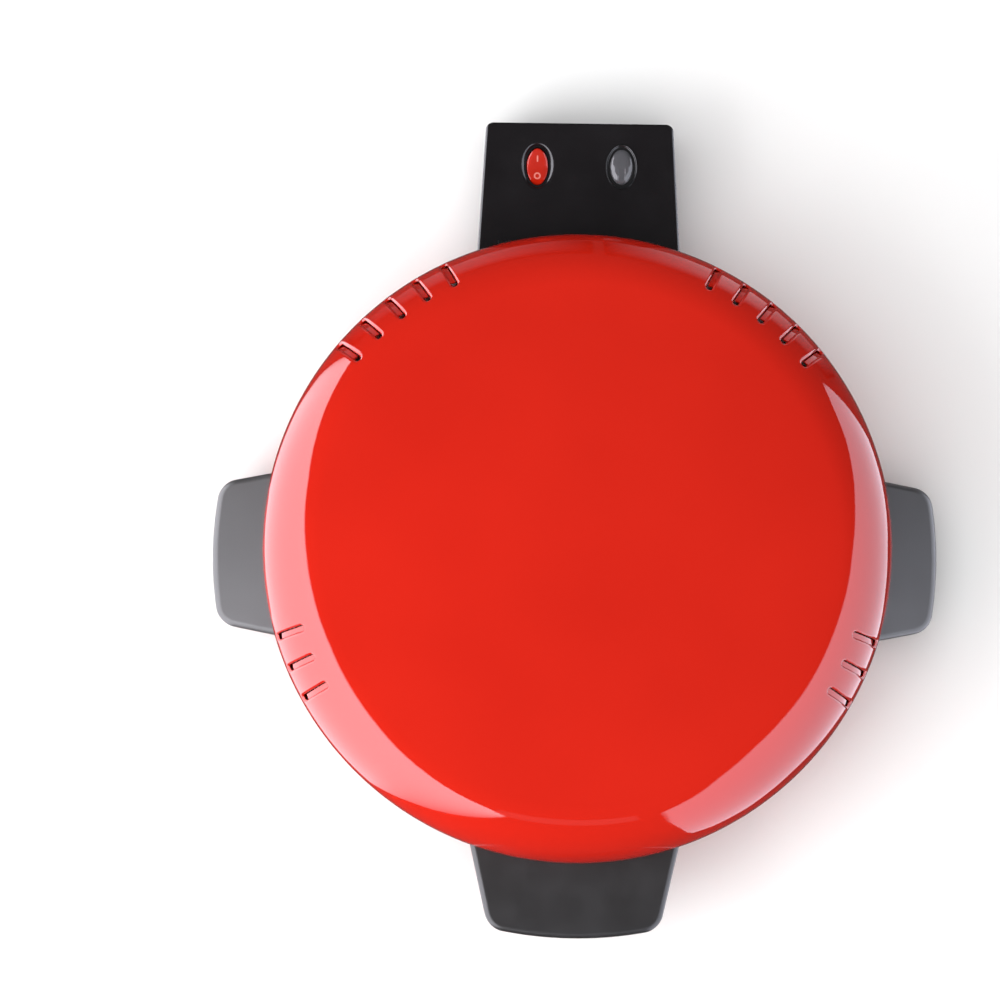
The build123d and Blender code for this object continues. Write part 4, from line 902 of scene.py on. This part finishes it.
# %% Marks on the rocker
MARK_LIFT, BAR_WIDTH, BAR_MIDDLE, BAR_REACH = 0.05, 0.42, 4.4, 1.75
RING_WIDTH, RING_MIDDLE, RING_R = 0.40, -4.7, 1.45
SECTION = np.linspace(0, 2 * pi, 12, endpoint=False)


def welt(middle_x, middle_y, side_x, side_y, half):
    """An ellipse across a line on the rocker's face: out to half * cos s and up to MARK_LIFT * sin s."""
    out = half[:, None] * np.cos(SECTION)
    x, y = middle_x[:, None] + side_x[:, None] * out, middle_y[:, None] + side_y[:, None] * out
    return np.stack([x, y, rocker_face(x, y) + MARK_LIFT * np.sin(SECTION)], -1)


turn = np.linspace(0, 2 * pi, 48, endpoint=False)
out_x, out_y = np.cos(turn), np.sin(turn)
off_ring = welt(RING_R * out_x, RING_R * out_y + RING_MIDDLE, out_x, out_y, np.full(48, RING_WIDTH))
share = np.linspace(-1, 1, 24)
bar_half = BAR_WIDTH * (1 - np.abs(share) ** 6) ** 0.5
on_bar = welt(0 * share, BAR_MIDDLE + BAR_REACH * share, 0 * share + 1, 0 * share, bar_half)
for name, rings, closed_path in (("mark_off", off_ring, True), ("mark_on", on_bar, False)):
    mark = dress(ring_piece(name, tilted(rings), PIVOT, around_rows=closed_path), "cream_plastic", "rocker")
    mark.data.materials[0] = INK

# %% [markdown]
# # The rocker's dish and the lamp
# The switch sits in a dished oval. Its wall rolls down from the housing's top, and this soft roll is what shows as
# a grey crescent beside the rocker. The lamp has a thin rim, a groove and a smoky dome whose front carries a flat
# strip between two facets. A squashed sphere would lack the strip and the groove, so both are sections or heights.

# %% The dish's wall
WELL_HALF, BEZEL_HALF = (9.1, 12.85), (7.1, 11.2)
DISH_ROLL, DISH_FOOT = 1.15, 2.15


def between(inner, outer, share):
    """The oval that lies a share of the way from an inner oval to an outer one."""
    return oval([a + share * (b - a) for a, b in zip(inner, outer)])


def dish_wall():
    """A closed section carried round: a rolled wall from the top edge to the frame, and a flat underside."""
    share = np.linspace(1.0, 0.02, 12)
    height = HOUSING_TOP - 0.02 - DISH_ROLL * (1 - share) ** 1.6
    shares = np.r_[share, 0.02, 1.0]
    heights = np.r_[height, HOUSING_TOP - DISH_FOOT, HOUSING_TOP - DISH_FOOT]
    return ring_stack([between(BEZEL_HALF, WELL_HALF, 0.995 * s) for s in shares], heights[:, None])


dish = ring_piece("switch_dish", dish_wall(), (-CONTROL_X, CONTROL_Y, 0.0), around_rows=True)
dress(dish, "housing_black", "base")

# %% Lamp rim and dome
LAMP_HALF, LENS_HALF = (8.55, 12.2), (6.2, 9.5)
DOME_FOOT, DOME_HEIGHT, STRIP_HALF, STRIP_DEPTH, FACET_SLOPE = 0.12, 2.45, 2.0, 0.32, 0.10


def lamp_rim():
    """A thin rolled rim, a groove inside it and a flat underside, as one closed section."""
    share = np.array([0.02, 0.30, 0.45, 0.58, 0.66, 0.74, 0.82, 0.90, 0.96, 0.99, 1.0, 1.0, 0.02])
    lift = np.array([0.30, 0.26, 0.28, 0.42, 0.66, 0.86, 0.96, 0.92, 0.74, 0.50, 0.22, 0.01, 0.01])
    return ring_stack([between(LENS_HALF, LAMP_HALF, s) for s in share], HOUSING_TOP + lift[:, None])


def lamp_dome():
    """Height falls from the crown as 1 - s^3.4, with a strip sunk between two facets in the front half."""
    share = np.sin(np.linspace(0, pi / 2, 26))[:, None, None]
    outline = share * oval(LENS_HALF, inset=0.02)
    x, y = outline[..., 0], outline[..., 1]
    height = DOME_HEIGHT * (1 - share[..., 0] ** 3.4) ** 0.62
    front = np.clip((0.5 - y) / 2.0, 0, 1)
    strip = np.clip((STRIP_HALF - np.abs(x)) / 0.35, 0, 1)
    facet = np.clip(np.abs(x) - STRIP_HALF, 0, None) * FACET_SLOPE
    height = np.clip(height - front * (STRIP_DEPTH * strip + facet) * (height > 0.4), 0.0, None)
    rings = ring_stack(outline, HOUSING_TOP + DOME_FOOT + height)
    return np.concatenate([rings, ring_stack([0 * outline[-1]], HOUSING_TOP + DOME_FOOT)])


LAMP_PLACE = (CONTROL_X, CONTROL_Y, 0.0)
rim = dress(ring_piece("lamp_rim", lamp_rim(), LAMP_PLACE, around_rows=True), "clear_lens", "base", "indicator_lens")
rim.data.materials[0] = clear_plastic("smoky_rim", (0.010, 0.010, 0.011), 0.10, 0.05)
dress(ring_piece("lamp_dome", lamp_dome(), LAMP_PLACE, crease=28.0), "clear_lens", "base", "indicator_lens")

# %% [markdown]
# # Screws and rivets
# The small fasteners aren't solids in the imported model, but their holes and wells are. All screws are pan heads
# with a cross recess. One head is a disc of rings: its height is a low dome with a rounded shoulder, and the cross
# is pressed in where a point lies inside one of two bars. Copied objects would need turning one by one, so all
# heads of a group are one mesh, placed at once by three axes.

# %% Heads
HEAD_RINGS = np.r_[np.linspace(0, 0.8, 15), 0.87, 0.93, 0.97, 1.0]
HEAD_TURN = np.linspace(0, 2 * pi, 56, endpoint=False)
HEAD_NECK, CROSS_HALF, CROSS_REACH, CROSS_DEPTH = 0.3, 0.17, 0.55, 0.6


def head_rings(radius, height, cross=True):
    """One head about its own axis: height * (1 - 0.3 r^2) less a rounded shoulder and a cross, and a short neck."""
    r = HEAD_RINGS[:, None]
    x, y = r * np.cos(HEAD_TURN), r * np.sin(HEAD_TURN)
    dome = 1 - 0.3 * r**2 - 0.7 * np.clip((r - 0.8) / 0.2, 0, 1) ** 2 + 0 * x
    if cross:
        wide, long = np.minimum(np.abs(x), np.abs(y)), np.maximum(np.abs(x), np.abs(y))
        inside = np.clip((CROSS_HALF - wide) / 0.06, 0, 1) * np.clip((CROSS_REACH - long) / 0.10, 0, 1)
        dome = dome - CROSS_DEPTH * inside
    top = np.stack([radius * x, radius * y, height * dome], -1)
    neck = np.stack([radius * np.cos(HEAD_TURN), radius * np.sin(HEAD_TURN), 0 * HEAD_TURN - HEAD_NECK], -1)
    middle = np.broadcast_to((0.0, 0.0, -HEAD_NECK), neck.shape)
    return np.concatenate([top, [neck, middle]])


def heads(name, places, facing, radius, height, body, cross=True):
    """One piece of many heads: each point is place + x u + y v + z w, where w is the way the head faces."""
    places, facing = np.atleast_2d(places).astype(float), np.atleast_2d(facing).astype(float)
    facing = np.broadcast_to(facing, places.shape)
    side = np.where(np.abs(facing[:, 2:]) > 0.5, [[1.0, 0.0, 0.0]], [[0.0, 0.0, 1.0]])
    third = np.cross(facing, side)
    axes = np.stack([side, third, facing], 1)
    rings = head_rings(radius, height, cross)
    points = np.einsum("rck,nkj->nrcj", rings, axes) + places[:, None, None, :]
    one = grid_faces(rings.shape[0], rings.shape[1], around=True)
    if np.linalg.det(axes[0]) > 0:
        one = one[:, ::-1]
    faces = repeated(one, rings.shape[0] * rings.shape[1], len(places))
    dress(mesh_piece(name, points.reshape(-1, 3), faces, crease=40.0), "plated_steel", body)


print("a head has", len(HEAD_RINGS) + 2, "rings of", len(HEAD_TURN), "points")

# %% Where the heads are
def mirrored(*places):
    """Each place and its mirror image across the middle plane."""
    places = np.array(places, float)
    return np.concatenate([places, places * (-1, 1, 1)])


def on_circle(radius, degrees, z):
    """Places on a circle about the axis."""
    return round_axis(radius, np.radians(degrees), z)


DOWN = (0.0, 0.0, -1.0)
RIVETS = on_circle(1.0, np.array([78.5, 90.0, 101.5]), 0.0)
heads("reflector_screws", on_circle(155.5, np.arange(0, 360, 60), 58.6), DOWN, 3.4, 2.0, "lid")
heads("handle_screws", mirrored((30.0, -160.6, 63.2)), (0.0, 1.0, 0.0), 3.2, 2.0, "lid")
heads("handle_cover_screws", mirrored((27.0, -186.0, 52.4)), DOWN, 3.1, 1.9, "lid")
heads("foot_screws", mirrored((72.27, 103.2, 4.5), (72.27, -103.2, 4.5), (36.0, 214.0, 4.5)), DOWN, 3.8, 2.2, "base")
heads("housing_screws", mirrored((42.0, 222.0, 16.0), (44.5, 168.0, 16.0)), DOWN, 2.9, 1.9, "base")
heads("hinge_rivets", RIVETS * 157.5 + (0, 0, 48.3), RIVETS, 2.7, 1.1, "base", cross=False)

# %% [markdown]
# # Floor
# The photograph has a plain white ground. A wide pale sheet stands for it. Near the pizza maker it takes its
# shadow, and further out it glows more and more, so that it meets the white room without an edge. Its own finish
# has a faint paper mottle, and it isn't part of the pizza maker.

# %% Floor
FLOOR_HALF = 6000.0
GLOW_FROM, GLOW_TO, GLOW_FAR = 0.7, 2.2, 0.93


def pale_paper():
    """White paper with a slow mottle. Its glow rises evenly from one distance from the axis to another."""
    paper = Finish("pale_paper", Roughness=0.9)
    paper.colour(paper.noise(3.0), (0.3, (0.86, 0.86, 0.86)), (0.7, (0.89, 0.89, 0.89)))
    paper.shader.inputs["Emission Color"].default_value = (1.0, 1.0, 1.0, 1.0)
    paper.set("Emission Strength", paper.ranged(paper.radius(), GLOW_FROM, GLOW_TO, 0.0, GLOW_FAR))
    return paper.material


corners = np.array([[-1, -1, 0], [1, -1, 0], [1, 1, 0], [-1, 1, 0]]) * FLOOR_HALF
ground = mesh_piece("floor", corners, [[0, 1, 2, 3]], closed=False)
ground.data.materials.append(pale_paper())
ground.visible_glossy = False
